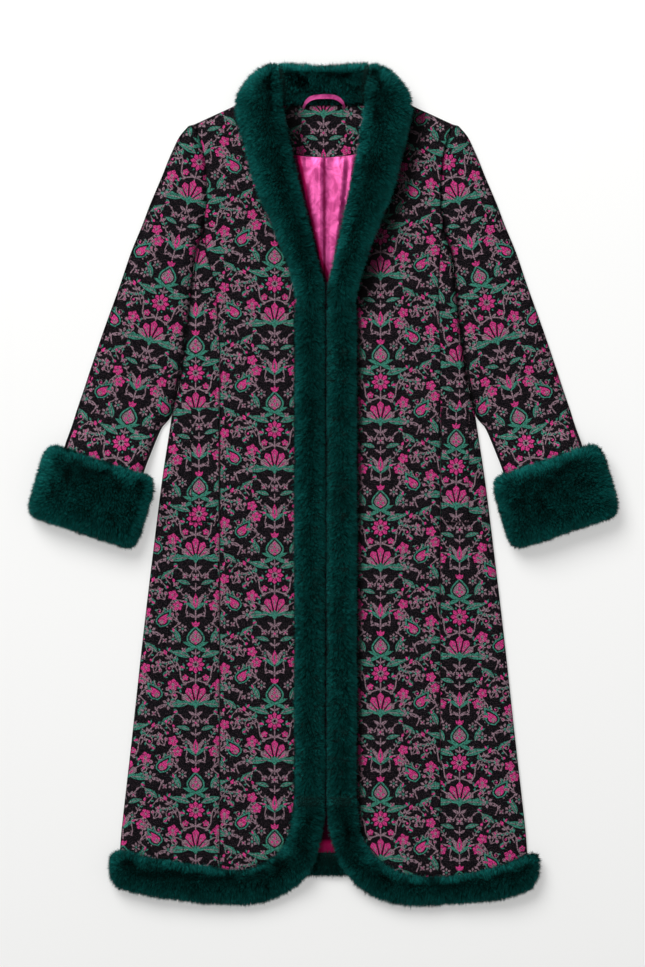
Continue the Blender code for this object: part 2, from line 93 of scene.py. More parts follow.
def to_linear(code: str) -> tuple[float, float, float, float]:
    """Turns an sRGB hex colour into a linear one.

    Args:
        code: The colour, such as "#17151A".

    Returns:
        Red, green, blue and an alpha of 1.
    """
    parts = [int(code[i:i + 2], 16) / 255.0 for i in (1, 3, 5)]
    linear = [c / 12.92 if c <= 0.04045 else ((c + 0.055) / 1.055) ** 2.4 for c in parts]
    return (linear[0], linear[1], linear[2], 1.0)


def add_node(tree: bpy.types.NodeTree, kind: str, settings: Optional[dict[Any, Any]] = None,
             links: Optional[dict[Any, bpy.types.NodeSocket]] = None) -> bpy.types.Node:
    """Adds one node with its settings and links.

    Args:
        tree: The material's or world's node tree.
        kind: The node's type without its ShaderNode prefix.
        settings: Values by property name, or by socket name or number; "stops" are the places and
            sRGB colours of a colour ramp.
        links: Output sockets by the name or number of the input that they feed.

    Returns:
        The node.
    """
    node = tree.nodes.new("ShaderNode" + kind)
    for name, value in (settings or {}).items():
        if name == "stops":
            elements = node.color_ramp.elements
            while len(elements) < len(value):
                elements.new(0.5)
            for element, (place, colour) in zip(elements, value):
                element.position = place
                element.color = to_linear(colour)
        elif isinstance(name, str) and hasattr(node, name):
            setattr(node, name, value)
        else:
            node.inputs[name].default_value = value
    for name, source in (links or {}).items():
        tree.links.new(source, node.inputs[name])
    return node


def blank_material(name: str) -> tuple[bpy.types.Material, bpy.types.NodeTree]:
    """Makes a material with an empty node tree.

    Args:
        name: The material's name.

    Returns:
        The material and its node tree.
    """
    material = bpy.data.materials.new(name)
    material.use_nodes = True
    material.node_tree.nodes.clear()
    return material, material.node_tree


@dataclass(frozen=True)
class JacquardFinish:
    """A dense yarn-dyed jacquard: matt threads, the motif broken up by the binding points of the weave."""

    rib: float = 2.3
    hatch: float = 3.1
    slope: float = 0.7
    stray: float = 0.9
    bar: str = "#4A4047"
    grain: float = 1.7
    # How far from a panel's outline, in scaled millimetres, the painted shade along its edges and seams
    # reaches.
    seam: float = 2.2
    roughness: float = 0.78

    def material(self) -> bpy.types.Material:
        """Makes the cloth, which reads its yarn from the mesh.

        The real threads are about 0.4 mm apart, too fine to show, so the ribs and binding points are
        drawn a few times as coarse.

        Returns:
            The material.
        """
        material, tree = blank_material("woven_jacquard")
        cloth = add_node(tree, "UVMap", {"uv_map": "cloth"})
        yarn = add_node(tree, "Attribute", {"attribute_name": "yarn"})
        thread = add_node(tree, "Mapping", {"Scale": (1 / (self.grain * MM), 0.62 / (self.grain * MM), 1.0)},
                          {"Vector": cloth.outputs[0]})
        grain = add_node(tree, "TexNoise", {"Scale": 1.0, "Detail": 1.5, "Roughness": 0.6},
                         {"Vector": thread.outputs[0]})
        split = add_node(tree, "SeparateXYZ", None, {0: cloth.outputs[0]})
        turn = add_node(tree, "Math", {"operation": "MULTIPLY", 1: 2 * math.pi / (self.rib * MM)},
                        {0: split.outputs["Y"]})
        wave = add_node(tree, "Math", {"operation": "SINE"}, {0: turn.outputs[0]})
        slant = add_node(tree, "Math", {"operation": "MULTIPLY_ADD", 1: self.slope},
                         {0: split.outputs["X"], 2: split.outputs["Y"]})
        shaken = add_node(tree, "Math", {"operation": "MULTIPLY_ADD", 1: self.stray * self.hatch * MM},
                          {0: grain.outputs["Fac"], 2: slant.outputs[0]})
        lines = add_node(tree, "Math", {"operation": "MULTIPLY", 1: 2 * math.pi / (self.hatch * MM)},
                         {0: shaken.outputs[0]})
        twill = add_node(tree, "Math", {"operation": "SINE"}, {0: lines.outputs[0]})
        bars = add_node(tree, "MapRange", {"From Min": 0.0, "From Max": 0.6, "To Max": 0.5},
                        {"Value": twill.outputs[0]})
        shown = add_node(tree, "Math", {"operation": "MULTIPLY"},
                         {0: bars.outputs[0], 1: yarn.outputs["Alpha"]})
        barred = add_node(tree, "Mix", {"data_type": "RGBA", "B": to_linear(self.bar)},
                          {"Factor": shown.outputs[0], "A": yarn.outputs["Color"]})
        points = add_node(tree, "ValToRGB",
                          {"stops": ((0.36, "#5E5E5E"), (0.5, "#D8D8D8"), (0.66, "#FFFFFF"))},
                          {"Fac": grain.outputs["Fac"]})
        bound = add_node(tree, "Mix", {"data_type": "RGBA", "blend_type": "MULTIPLY", "Factor": 0.85},
                         {"A": barred.outputs["Result"], "B": points.outputs["Color"]})
        lint = add_node(tree, "TexNoise", {"Scale": 1.9, "Detail": 0.0}, {"Vector": thread.outputs[0]})
        flecks = add_node(tree, "MapRange", {"From Min": 0.62, "From Max": 0.72, "To Max": 0.14},
                          {"Value": lint.outputs["Fac"]})
        fleck = add_node(tree, "Mix", {"data_type": "RGBA", "B": to_linear(Yarn.MAUVE.value)},
                         {"Factor": flecks.outputs[0], "A": bound.outputs["Result"]})
        # Painted shade: the cloth's colour is drawn darker near each panel's edges and seams.
        edge = add_node(tree, "Attribute", {"attribute_name": "edge"})
        painted_edge_shade = add_node(tree, "MapRange", {"From Max": self.seam, "To Min": 0.2},
                        {"Value": edge.outputs["Fac"]})
        # Painted shadow: the light attribute darkens the cloth beside the deep fur and along a sleeve's fold
        # against the body.
        reach = add_node(tree, "Attribute", {"attribute_name": "light"})
        painted_shadow = add_node(tree, "MapRange", {"From Min": 0.1, "From Max": 0.8, "To Min": 0.12},
                            {"Value": reach.outputs["Fac"]})
        painted_shade = add_node(tree, "Math", {"operation": "MULTIPLY"},
                          {0: painted_edge_shade.outputs[0], 1: painted_shadow.outputs[0]})
        # The yarn colour, scaled by the painted edge shade and the painted shadow.
        sewn = add_node(tree, "VectorMath", {"operation": "SCALE"},
                        {0: fleck.outputs["Result"], "Scale": painted_shade.outputs[0]})
        relief = add_node(tree, "Math", {"operation": "MULTIPLY_ADD", 1: 0.35},
                          {0: wave.outputs[0], 2: grain.outputs["Fac"]})
        bump = add_node(tree, "Bump", {"Strength": 0.4, "Distance": 0.0004}, {"Height": relief.outputs[0]})
        surface = add_node(tree, "BsdfPrincipled",
                           {"Roughness": self.roughness, "Specular IOR Level": 0.04},
                           {"Base Color": sewn.outputs[0], "Normal": bump.outputs[0]})
        add_node(tree, "OutputMaterial", None, {"Surface": surface.outputs[0]})
        return material


@dataclass(frozen=True)
class SatinFinish:
    """A weft satin: long floats in one direction, so a soft broad sheen that follows the folds.

    It is drawn crimson where little light reaches it and nearly black where none does.
    """

    colour: str = "#DB549D"
    shade: str = "#A6266D"
    dusk: str = "#7F0A3B"
    deep: str = "#2A0214"
    thread: float = 0.5
    float_length: float = 12.0
    cloud: float = 14.0
    streak: float = 11.0
    streak_length: float = 66.0

    def material(self) -> bpy.types.Material:
        """Makes the satin, whose threads are drawn a few times as coarse as they are.

        Returns:
            The material.
        """
        material, tree = blank_material("lining_satin")
        place = add_node(tree, "TexCoord")
        thread = add_node(tree, "Mapping",
                          {"Scale": (1 / (self.thread * MM), 1 / (self.float_length * MM), 1.0)},
                          {"Vector": place.outputs["Object"]})
        floats = add_node(tree, "TexNoise", {"Scale": 1.0, "Detail": 2.0}, {"Vector": thread.outputs[0]})
        cloud = add_node(tree, "TexNoise", {"Scale": 1 / (self.cloud * MM), "Detail": 3.0, "Distortion": 0.8},
                         {"Vector": place.outputs["Object"]})
        fall = add_node(tree, "Mapping",
                        {"Scale": (1 / (self.streak * MM), 1 / (self.streak_length * MM), 1.0)},
                        {"Vector": place.outputs["Object"]})
        crinkle = add_node(tree, "TexNoise", {"Scale": 1.0, "Detail": 1.0, "Distortion": 0.5},
                           {"Vector": fall.outputs[0]})
        tone = add_node(tree, "ValToRGB", {"stops": ((0.38, self.shade), (0.62, self.colour))},
                        {"Fac": cloud.outputs["Fac"]})
        reach = add_node(tree, "Attribute", {"attribute_name": "light"})
        lit = add_node(tree, "MapRange", {"From Min": 0.52, "From Max": 1.0},
                       {"Value": reach.outputs["Fac"]})
        dim = add_node(tree, "ValToRGB", {"stops": ((0.0, self.deep), (0.5, self.dusk))},
                       {"Fac": lit.outputs[0]})
        bright = add_node(tree, "MapRange", {"From Min": 0.5}, {"Value": lit.outputs[0]})
        colour = add_node(tree, "Mix", {"data_type": "RGBA"},
                          {"Factor": bright.outputs[0], "A": dim.outputs["Color"],
                           "B": tone.outputs["Color"]})
        gloss = add_node(tree, "MapRange", {"To Min": 0.32, "To Max": 0.46},
                         {"Value": cloud.outputs["Fac"]})
        soft = add_node(tree, "Bump", {"Strength": 0.5, "Distance": 0.0016},
                        {"Height": crinkle.outputs["Fac"]})
        bump = add_node(tree, "Bump", {"Strength": 0.12, "Distance": 0.0003},
                        {"Height": floats.outputs["Fac"], "Normal": soft.outputs[0]})
        weft = add_node(tree, "Tangent", {"direction_type": "UV_MAP", "uv_map": "cloth"})
        shine = add_node(tree, "Math", {"operation": "MULTIPLY", 1: 0.5}, {0: bright.outputs[0]})
        surface = add_node(tree, "BsdfPrincipled",
                           {"Metallic": 0.45, "Anisotropic": 0.75, "Anisotropic Rotation": 0.25},
                           {"Base Color": colour.outputs["Result"], "Roughness": gloss.outputs[0],
                            "Specular IOR Level": shine.outputs[0],
                            "Normal": bump.outputs[0], "Tangent": weft.outputs[0]})
        add_node(tree, "OutputMaterial", None, {"Surface": surface.outputs[0]})
        return material


@dataclass(frozen=True)
class FurFinish:
    """Acrylic faux fur: fine dyed hair, drawn near black at the roots as painted shade deep in the pile, and
    paler toward the tips.
    """

    root: str = "#011615"
    middle: str = "#054643"
    tip: str = "#1F7D77"
    sheen: str = "#3FA892"

    def material(self) -> bpy.types.Material:
        """Makes the hair, with its shade across the map and its length along it.

        Returns:
            The material.
        """
        material, tree = blank_material("faux_fur_hair")
        strand = add_node(tree, "UVMap", {"uv_map": "hair"})
        split = add_node(tree, "SeparateXYZ", None, {0: strand.outputs[0]})
        along = add_node(tree, "ValToRGB",
                         {"stops": ((0.0, self.root), (0.5, self.middle), (1.0, self.tip))},
                         {"Fac": split.outputs["Y"]})
        # Each hair's lightness scales its colour. It holds random tone, painted light at the edges and
        # painted shade at partings.
        shade = add_node(tree, "MapRange", {"To Min": 0.45, "To Max": 1.5},
                         {"Value": split.outputs["X"]})
        colour = add_node(tree, "VectorMath", {"operation": "SCALE"},
                          {0: along.outputs["Color"], "Scale": shade.outputs[0]})
        surface = add_node(tree, "BsdfPrincipled",
                           {"Roughness": 0.5, "Specular IOR Level": 0.2,
                            "Specular Tint": to_linear(self.sheen)},
                           {"Base Color": colour.outputs[0]})
        add_node(tree, "OutputMaterial", None, {"Surface": surface.outputs[0]})
        return material


@dataclass(frozen=True)
class BackingFinish:
    """The knitted ground of the fur, nearly black between the roots."""

    colour: str = "#021F1C"
    hollow: str = "#01110E"
    loop: float = 2.0

    def material(self) -> bpy.types.Material:
        """Makes the backing.

        Returns:
            The material.
        """
        material, tree = blank_material("faux_fur_backing")
        place = add_node(tree, "TexCoord")
        loops = add_node(tree, "TexNoise", {"Scale": 1 / (self.loop * MM), "Detail": 2.0},
                         {"Vector": place.outputs["Object"]})
        tone = add_node(tree, "ValToRGB", {"stops": ((0.3, self.hollow), (0.7, self.colour))},
                        {"Fac": loops.outputs["Fac"]})
        bump = add_node(tree, "Bump", {"Strength": 0.5, "Distance": 0.001},
                        {"Height": loops.outputs["Fac"]})
        surface = add_node(tree, "BsdfPrincipled", {"Roughness": 0.9, "Specular IOR Level": 0.1},
                           {"Base Color": tone.outputs["Color"], "Normal": bump.outputs[0]})
        add_node(tree, "OutputMaterial", None, {"Surface": surface.outputs[0]})
        return material


@dataclass(frozen=True)
class PaperFinish:
    """Matt studio paper with painted light: an emission, stronger toward the top, keeps the shadows on it
    pale.
    """

    colour: str = "#C4C4C3"
    painted_glow_top: float = 0.45
    painted_glow_bottom: float = 0.33
    fibre: float = 3.0

    def material(self) -> bpy.types.Material:
        """Makes the paper.

        Returns:
            The material.
        """
        material, tree = blank_material("studio_paper")
        place = add_node(tree, "TexCoord")
        fibre = add_node(tree, "TexNoise", {"Scale": 1 / (self.fibre * MM), "Detail": 2.0},
                         {"Vector": place.outputs["Object"]})
        bump = add_node(tree, "Bump", {"Strength": 0.02, "Distance": 0.0005},
                        {"Height": fibre.outputs["Fac"]})
        split = add_node(tree, "SeparateXYZ", None, {0: place.outputs["Object"]})
        # Painted light: the paper glows, more toward the top than toward the bottom.
        glow = add_node(tree, "MapRange",
                        {"From Min": -0.75, "From Max": 0.7, "To Min": self.painted_glow_bottom,
                         "To Max": self.painted_glow_top},
                        {"Value": split.outputs["Y"]})
        surface = add_node(tree, "BsdfPrincipled",
                           {"Base Color": to_linear(self.colour), "Roughness": 0.95,
                            "Specular IOR Level": 0.1, "Emission Color": to_linear("#FFFFFE")},
                           {"Normal": bump.outputs[0], "Emission Strength": glow.outputs[0]})
        add_node(tree, "OutputMaterial", None, {"Surface": surface.outputs[0]})
        return material


def turned(points: np.ndarray, degrees: float) -> np.ndarray:
    """Turns points about the origin, anticlockwise.

    Args:
        points: Rows of x and y.
        degrees: The angle.

    Returns:
        The turned points.
    """
    c, s = math.cos(math.radians(degrees)), math.sin(math.radians(degrees))
    return points @ np.array(((c, s), (-s, c)))


def unit(rows: np.ndarray) -> np.ndarray:
    """Scales each row to a length of 1."""
    return rows / np.maximum(np.linalg.norm(rows, axis=1), TINY)[:, None]


def anticlockwise(points: np.ndarray) -> np.ndarray:
    """Puts the points of an outline into anticlockwise order.

    Args:
        points: Rows of x and y.

    Returns:
        The same points, turned round where they run clockwise.
    """
    x, y = points.T
    area = np.sum(x * np.roll(y, -1) - y * np.roll(x, -1))
    return points if area > 0 else points[::-1]


def petal(length: float, width: float, belly: float = 1.0, bend: float = 0.0, steps: int = 4) -> np.ndarray:
    """Returns a pointed petal or leaf that stands on the origin.

    Args:
        length: Its height.
        width: Its greatest breadth.
        belly: Below 1 its broadest place is lower, above 1 higher.
        bend: How far its tip leans sideways.
        steps: Stretches along each side.

    Returns:
        Its outline, anticlockwise.
    """
    t = np.linspace(0.0, 1.0, steps + 1)
    half = width / 2.0 * np.sin(np.pi * t ** belly)
    lean = bend * t ** 2
    right = np.column_stack((lean + half, t * length))
    left = np.column_stack((lean - half, t * length))[1:-1][::-1]
    return np.vstack((right, left))


def disc(radius: float, steps: int = 6) -> np.ndarray:
    """Returns a round spot about the origin."""
    turn = np.linspace(0.0, 2.0 * np.pi, steps, endpoint=False)
    return radius * np.column_stack((np.cos(turn), np.sin(turn)))


def stroke(path: np.ndarray, start: float, end: float) -> np.ndarray:
    """Returns a stem along a path, tapering from one width to another.

    Args:
        path: Points along the stem.
        start: Its width at the first point.
        end: Its width at the last point.

    Returns:
        Its outline.
    """
    run = unit(np.gradient(path, axis=0))
    aside = np.column_stack((-run[:, 1], run[:, 0])) * np.linspace(start, end, len(path))[:, None] / 2.0
    return np.vstack((path - aside, (path + aside)[::-1]))


def curl(size: float, turns: float, steps: int = 11) -> np.ndarray:
    """Returns a tendril that rises from the origin and rolls in on itself.

    Args:
        size: The breadth of the roll.
        turns: How many times it goes round.
        steps: Points along the roll.

    Returns:
        Its path.
    """
    t = np.linspace(0.0, 1.0, steps)
    radius = size / 2.0 * (1.0 - 0.78 * t)
    angle = np.pi - 2.0 * np.pi * turns * t
    rolled = np.column_stack((size / 2.0 + radius * np.cos(angle), size * 0.75 + radius * np.sin(angle)))
    return np.vstack(((0.0, 0.0), (0.0, size * 0.4), rolled))


@dataclass
class FloralRepeat:
    """A generic repeat of traditional flowers in mirrored columns, each a half drop below the next."""

    scale: float = 0.88
    column: float = 122.0
    rise: float = 244.0
    layout: tuple[tuple[str, float, float, float, float], ...] = (
        ("stem", 0, 2, 0, 1.0), ("carnation", 0, 24, 0, 0.86), ("stem", 0, 60, 0, 0.9),
        ("rosette", 0, 92, 0, 0.9), ("stem", 0, 106, 0, 0.7), ("pomegranate", 0, 120, 0, 0.84),
        ("stem", 0, 166, 0, 1.0), ("tulip", 0, 186, 0, 0.9), ("stem", 0, 214, 0, 0.8),
        ("floret", 0, 238, 0, 1.3), ("scroll", 3, 66, -58, 1.0), ("scroll", 4, 174, -42, 0.62),
        ("scroll", 60, 4, 30, 0.9), ("scroll", 84, 30, 4, 0.8), ("scroll", 30, 112, -100, 0.7),
        ("scroll", 4, 6, -96, 0.7), ("long_leaf", 9, 104, -64, 0.74), ("long_leaf", 12, 26, -86, 0.7),
        ("long_leaf", 26, 128, -16, 0.6), ("long_leaf", 9, 226, -64, 0.5),
        ("long_leaf", 64, 112, -40, 0.56), ("paisley", 62, 30, -16, 0.8), ("blossom", 38, 58, 10, 0.9),
        ("blossom", 84, 86, -20, 0.8), ("blossom", 30, 190, 0, 0.78), ("blossom", 17, 70, 0, 0.5),
        ("daisy", 46, 26, 0, 0.9), ("daisy", 60, 92, 0, 0.8), ("daisy", 22, 152, 0, 0.7),
        ("daisy", 84, 12, 0, 0.8), ("daisy", 16, 206, 0, 0.6), ("sprig", 30, 80, -26, 0.8),
        ("sprig", 22, 208, -24, 0.6), ("sprig", 90, 52, 14, 0.66), ("berries", 38, 40, -40, 0.8),
        ("berries", 70, 78, 30, 0.8), ("berries", 32, 166, -34, 0.7), ("tendril", 20, 40, -60, 0.8),
        ("tendril", 80, 104, 40, 0.72), ("tendril", 44, 98, -150, 0.7), ("tendril", 70, 66, 160, 0.6),
        ("floret", 46, 78, 20, 0.8), ("floret", 20, 116, 0, 0.8), ("floret", 82, 66, 0, 0.9),
        ("floret", 57, 110, 10, 0.8), ("floret", 18, 240, 0, 0.9), ("floret", 70, 10, 0, 0.8),
        ("floret", 34, 226, 0, 0.8), ("bud", 74, 46, -70, 0.9), ("bud", 24, 52, -40, 0.8),
        ("bud", 18, 86, -70, 0.9), ("bud", 46, 114, 30, 0.8), ("bud", 36, 146, -20, 0.8),
        ("bud", 14, 196, -80, 0.8), ("bud", 30, 14, -110, 0.8), ("bud", 54, 72, 60, 0.8))

    def carnation(self) -> list[Patch]:
        """Draws a fan of notched petals on a cup.

        Returns:
            Its areas, later ones over earlier ones.
        """
        found = [Patch(turned(petal(26, 7, 0.9, side / 18), side), Yarn.TEAL) for side in (-76, 76)]
        for angle in (-54, -27, 0, 27, 54):
            tall = 42 - abs(angle) * 0.16
            wedge = np.array(((0, 7), (6.6, tall * 0.84), (3.6, tall * 0.92), (0, tall), (-3.6, tall * 0.92),
                              (-6.6, tall * 0.84)))
            found.append(Patch(turned(wedge, angle), Yarn.PINK if abs(angle) < 40 else Yarn.MAUVE))
            ray = petal(tall * 0.46, 3.4, steps=2) + (0, tall * 0.36)
            found.append(Patch(turned(ray, angle), Yarn.MAUVE if abs(angle) < 40 else Yarn.PINK))
        cup = np.array(((0, -8), (5, -1), (7.5, 12), (3.4, 7), (0, 12), (-3.4, 7), (-7.5, 12), (-5, -1)))
        return found + [Patch(cup, Yarn.TEAL)]

    def pomegranate(self) -> list[Patch]:
        """Draws a round fruit with seeds and a crown.

        Returns:
            Its areas, later ones over earlier ones.
        """
        found = [Patch(turned(petal(28, 8, 0.9, -side / 14), side), Yarn.TEAL) for side in (-98, 98, -58, 58)]
        body, middle = petal(44, 37, 0.78, steps=6), np.array((0.0, 19.0))
        for share, yarn in ((1.0, Yarn.TEAL), (0.82, Yarn.GROUND), (0.68, Yarn.MAUVE)):
            found.append(Patch(middle + (body - middle) * share, yarn))
        for x, y in ((0, 9), (-5, 16), (5, 16), (0, 23), (0, 30)):
            found.append(Patch(disc(3.0, 5) + (x, y), Yarn.PINK))
        crown = petal(13, 6, 0.9, steps=3)
        return found + [Patch(turned(crown, angle) + (0, 41), Yarn.PINK) for angle in (-38, 38, 0)]

    def rosette(self) -> list[Patch]:
        """Draws an eight-petalled flower seen from above.

        Returns:
            Its areas, later ones over earlier ones.
        """
        found = [Patch(turned(petal(14, 8.2, 1.4, steps=3) + (0, 3), k * 45), Yarn.PINK) for k in range(8)]
        found += [Patch(turned(petal(5, 3.4, steps=2) + (0, 15), k * 45 + 22.5), Yarn.TEAL) for k in range(8)]
        return found + [Patch(disc(6.0, 8), Yarn.MAUVE), Patch(disc(2.8), Yarn.GROUND)]

    def daisy(self) -> list[Patch]:
        """Draws a pale six-petalled flower with a teal eye."""
        found = [Patch(turned(petal(9, 6.0, steps=2) + (0, 3), k * 60), Yarn.MAUVE) for k in range(6)]
        return found + [Patch(disc(3.0), Yarn.TEAL)]

    def tulip(self) -> list[Patch]:
        """Draws a tulip with two long leaves.

        Returns:
            Its areas, later ones over earlier ones.
        """
        found = []
        for side in (-1, 1):
            found.append(Patch(turned(petal(32, 6.6, 0.8, 9 * side), -38 * side) - (0, 4), Yarn.TEAL))
        for side in (-1, 1):
            found.append(Patch(turned(petal(31, 9, 0.8, 7 * side), -16 * side) + (side, 0), Yarn.MAUVE))
        found.append(Patch(petal(28, 10, 0.85), Yarn.PINK))
        return found + [Patch(petal(15, 3.2, steps=2) + (0, 6), Yarn.TEAL)]

    def paisley(self) -> list[Patch]:
        """Draws a bent drop with an inner flower.

        Returns:
            Its areas, later ones over earlier ones.
        """
        rim, middle = petal(52, 35, 0.66, 14, 7), np.array((0.5, 17.0))
        found = [Patch(disc(1.9, 4) + spot, Yarn.MAUVE) for spot in rim[1:13]]
        for share, yarn in ((0.84, Yarn.TEAL), (0.66, Yarn.GROUND), (0.5, Yarn.PINK)):
            found.append(Patch(middle + (rim - middle) * share, yarn))
        found += [Patch(turned(petal(6.6, 4, 1.3, steps=2), k * 72) + (0, 14), Yarn.MAUVE) for k in range(5)]
        return found

    def long_leaf(self) -> list[Patch]:
        """Draws a long bent leaf with a midrib and side veins.

        Returns:
            Its areas, later ones over earlier ones.
        """
        found = [Patch(petal(48, 15, 0.85, 9, 6), Yarn.TEAL)]
        t = np.linspace(0.04, 0.9, 6)
        rib = np.column_stack((9 * t ** 2, 48 * t))
        for k in (1, 3):
            for side in (-1, 1):
                out = rib[k] + np.array((side * 5.8, 5.4)) * (1.0 - 0.1 * k)
                found.append(Patch(stroke(np.array((rib[k], out)), 1.5, 0.9), Yarn.GROUND))
        return found + [Patch(stroke(rib, 2.0, 1.0), Yarn.MAUVE)]

    def blossom(self) -> list[Patch]:
        """Draws a five-petalled flower."""
        found = [Patch(turned(petal(11.5, 9.0, 1.5, steps=3), k * 72), Yarn.PINK) for k in range(5)]
        return found + [Patch(disc(3.4), Yarn.MAUVE)]

    def sprig(self) -> list[Patch]:
        """Draws a stem with small paired leaves and a bud.

        Returns:
            Its areas, later ones over earlier ones.
        """
        t = np.linspace(0.0, 1.0, 5)
        path = np.column_stack((6 * t ** 2, 42 * t))
        found = [Patch(stroke(path, 2.2, 1.7), Yarn.MAUVE)]
        for k in range(1, 4):
            for side in (-1, 1):
                leaf = turned(petal(11.5, 5.4, 0.9, steps=2), -side * 52) + path[k]
                found.append(Patch(leaf, Yarn.MAUVE if k % 2 else Yarn.TEAL))
        return found + [Patch(petal(12, 8, 0.8, steps=3) + path[-1], Yarn.PINK)]

    def berries(self) -> list[Patch]:
        """Draws three berries on stalks.

        Returns:
            Its areas, later ones over earlier ones.
        """
        found: list[Patch] = []
        for angle, tall in ((-40, 14), (0, 18), (40, 14)):
            tip = turned(np.array(((0.0, tall),)), angle)[0]
            found.append(Patch(stroke(np.array(((0.0, 0.0), tip)), 1.8, 1.8), Yarn.MAUVE))
            found += [Patch(disc(4.4) + tip, Yarn.MAUVE), Patch(disc(2.0, 4) + tip, Yarn.PINK)]
        return found

    def tendril(self) -> list[Patch]:
        """Draws a rolled tendril with leaflets.

        Returns:
            Its areas, later ones over earlier ones.
        """
        path = curl(20.0, 1.1)
        found = [Patch(stroke(path, 2.4, 1.8), Yarn.MAUVE), Patch(disc(3.0) + path[-1], Yarn.PINK)]
        for k, angle in ((1, 60), (4, 20), (7, -50)):
            found.append(Patch(turned(petal(9.5, 5.0, 0.9, steps=2), angle) + path[k], Yarn.TEAL))
        return found

    def scroll(self) -> list[Patch]:
        """Draws a long double-bent stem with leaflets on alternate sides.

        Returns:
            Its areas, later ones over earlier ones.
        """
        t = np.linspace(0.0, 1.0, 11)
        path = np.column_stack((14 * np.sin(2.4 * np.pi * t) * (1 - 0.5 * t), 66 * t))
        found = [Patch(stroke(path, 2.4, 1.7), Yarn.MAUVE)]
        for k in (1, 2, 4, 6, 7, 9):
            side = -1 if k % 2 else 1
            leaf = turned(petal(10.5, 5.4, 0.9, steps=2), side * 58) + path[k]
            found.append(Patch(leaf, Yarn.TEAL if k % 3 == 0 else Yarn.MAUVE))
        return found + [Patch(disc(3.4) + path[-1], Yarn.PINK)]

    def floret(self) -> list[Patch]:
        """Draws a tiny four-petalled filler."""
        found = [Patch(turned(petal(6.8, 4.6, 1.2, steps=2), k * 90 + 45), Yarn.MAUVE) for k in range(4)]
        return found + [Patch(disc(1.7, 4), Yarn.PINK)]

    def bud(self) -> list[Patch]:
        """Draws a small bud between two leaflets."""
        found = [Patch(turned(petal(10, 4.6, 0.9, steps=2), side), Yarn.TEAL) for side in (-46, 46)]
        return found + [Patch(petal(9.5, 5, 0.9, steps=3), Yarn.PINK)]

    def stem(self) -> list[Patch]:
        """Draws a short upright stem with two leaflets.

        Returns:
            Its areas, later ones over earlier ones.
        """
        found = [Patch(stroke(np.array(((0.0, 0.0), (0.0, 9.0), (0.0, 18.0))), 2.3, 2.3), Yarn.MAUVE)]
        for side in (-58, 58):
            found.append(Patch(turned(petal(14, 5.6, 0.9, steps=3), side) + (0, 4), Yarn.MAUVE))
        return found

    def cell(self) -> list[Patch]:
        """Draws one column's height of the repeat, mirrored about its axis.

        Returns:
            Its areas, later ones over earlier ones.
        """
        found: list[Patch] = []
        for kind, u, v, angle, size in self.layout:
            for patch in getattr(self, kind)():
                points = (turned(patch.points * size, angle) + (u, v)) * self.scale
                found.append(Patch(points, patch.yarn))
                if u > 0:
                    found.append(Patch(points[::-1] * (-1.0, 1.0), patch.yarn))
        return found

    def over(self, low: np.ndarray, high: np.ndarray, least: float = 0.0) -> list[Patch]:
        """Returns the areas that reach into a box of the cloth.

        Args:
            low: The box's lowest corner in cloth millimetres.
            high: Its highest corner.
            least: The breadth and height, added up, of the smallest areas drawn.

        Returns:
            The areas, in the order in which they are laid over each other.
        """
        column, rise = self.column * self.scale, self.rise * self.scale
        cell = [p for p in self.cell() if np.ptp(p.points, axis=0).sum() >= least]
        boxes = np.array([(*p.points.min(axis=0), *p.points.max(axis=0)) for p in cell])
        found: list[Patch] = []
        first, last = int(low[0] // column) - 1, int(high[0] // column) + 2
        for i in range(first, last + 1):
            drop = rise / 2.0 if i % 2 else 0.0
            start, end = int((low[1] - drop) // rise) - 2, int((high[1] - drop) // rise) + 1
            for j in range(start, end + 1):
                shift = np.array((i * column, j * rise + drop))
                keep = ((boxes[:, :2] + shift < high) & (boxes[:, 2:] + shift > low)).all(axis=1)
                found += [Patch(cell[k].points + shift, cell[k].yarn) for k in np.nonzero(keep)[0]]
        return found


@dataclass(frozen=True)
class ClothFrame:
    """How the weave lies on the coat: a place on the cloth's axis and the turn of its columns."""

    x: float
    y: float
    turn: float = 0.0

    def to_cloth(self, plan: np.ndarray) -> np.ndarray:
        """Turns places on the coat into places on the cloth."""
        return turned(plan - (self.x, self.y), -self.turn)

    def to_coat(self, cloth: np.ndarray) -> np.ndarray:
        """Turns places on the cloth into places on the coat."""
        return turned(cloth, self.turn) + (self.x, self.y)


class Crease(NamedTuple):
    """A soft trough, or a ridge where its depth is below 0.

    It has its ends, half breadth and depth, and the breadth of its right side as a share of its left.
    """

    x0: float
    y0: float
    x1: float
    y1: float
    breadth: float
    depth: float
    steep: float = 1.0

    def at(self, plan: np.ndarray) -> np.ndarray:
        """Works out how far the crease sinks the cloth.

        Args:
            plan: Places in plan.

        Returns:
            A depth for each place.
        """
        run = np.array((self.x1 - self.x0, self.y1 - self.y0))
        reach = plan - (self.x0, self.y0)
        along = reach @ run / (run @ run)
        aside = (reach[:, 0] * run[1] - reach[:, 1] * run[0]) / np.linalg.norm(run)
        fade = np.sin(np.pi * np.clip(along, 0.0, 1.0)) ** 0.8
        breadth = np.where(aside * run[1] > 0, self.breadth * self.steep, self.breadth)
        return self.depth * fade * np.exp(-(aside / breadth) ** 2)


def welded(node: str) -> tuple[np.ndarray, np.ndarray]:
    """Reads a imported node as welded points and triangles.

    Args:
        node: The node's name.

    Returns:
        Points in millimetres and rows of three point numbers.
    """
    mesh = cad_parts[node].data
    flat = np.empty(len(mesh.vertices) * 3, np.float32)
    mesh.vertices.foreach_get("co", flat)
    points = flat.reshape(-1, 3).astype(float) / MM
    mesh.calc_loop_triangles()
    corners = np.empty(len(mesh.loop_triangles) * 3, np.int32)
    mesh.loop_triangles.foreach_get("vertices", corners)
    keys = np.round(points * 50.0).astype(np.int64)
    _, index, inverse = np.unique(keys, axis=0, return_index=True, return_inverse=True)
    return points[index], inverse.reshape(-1)[corners].reshape(-1, 3)


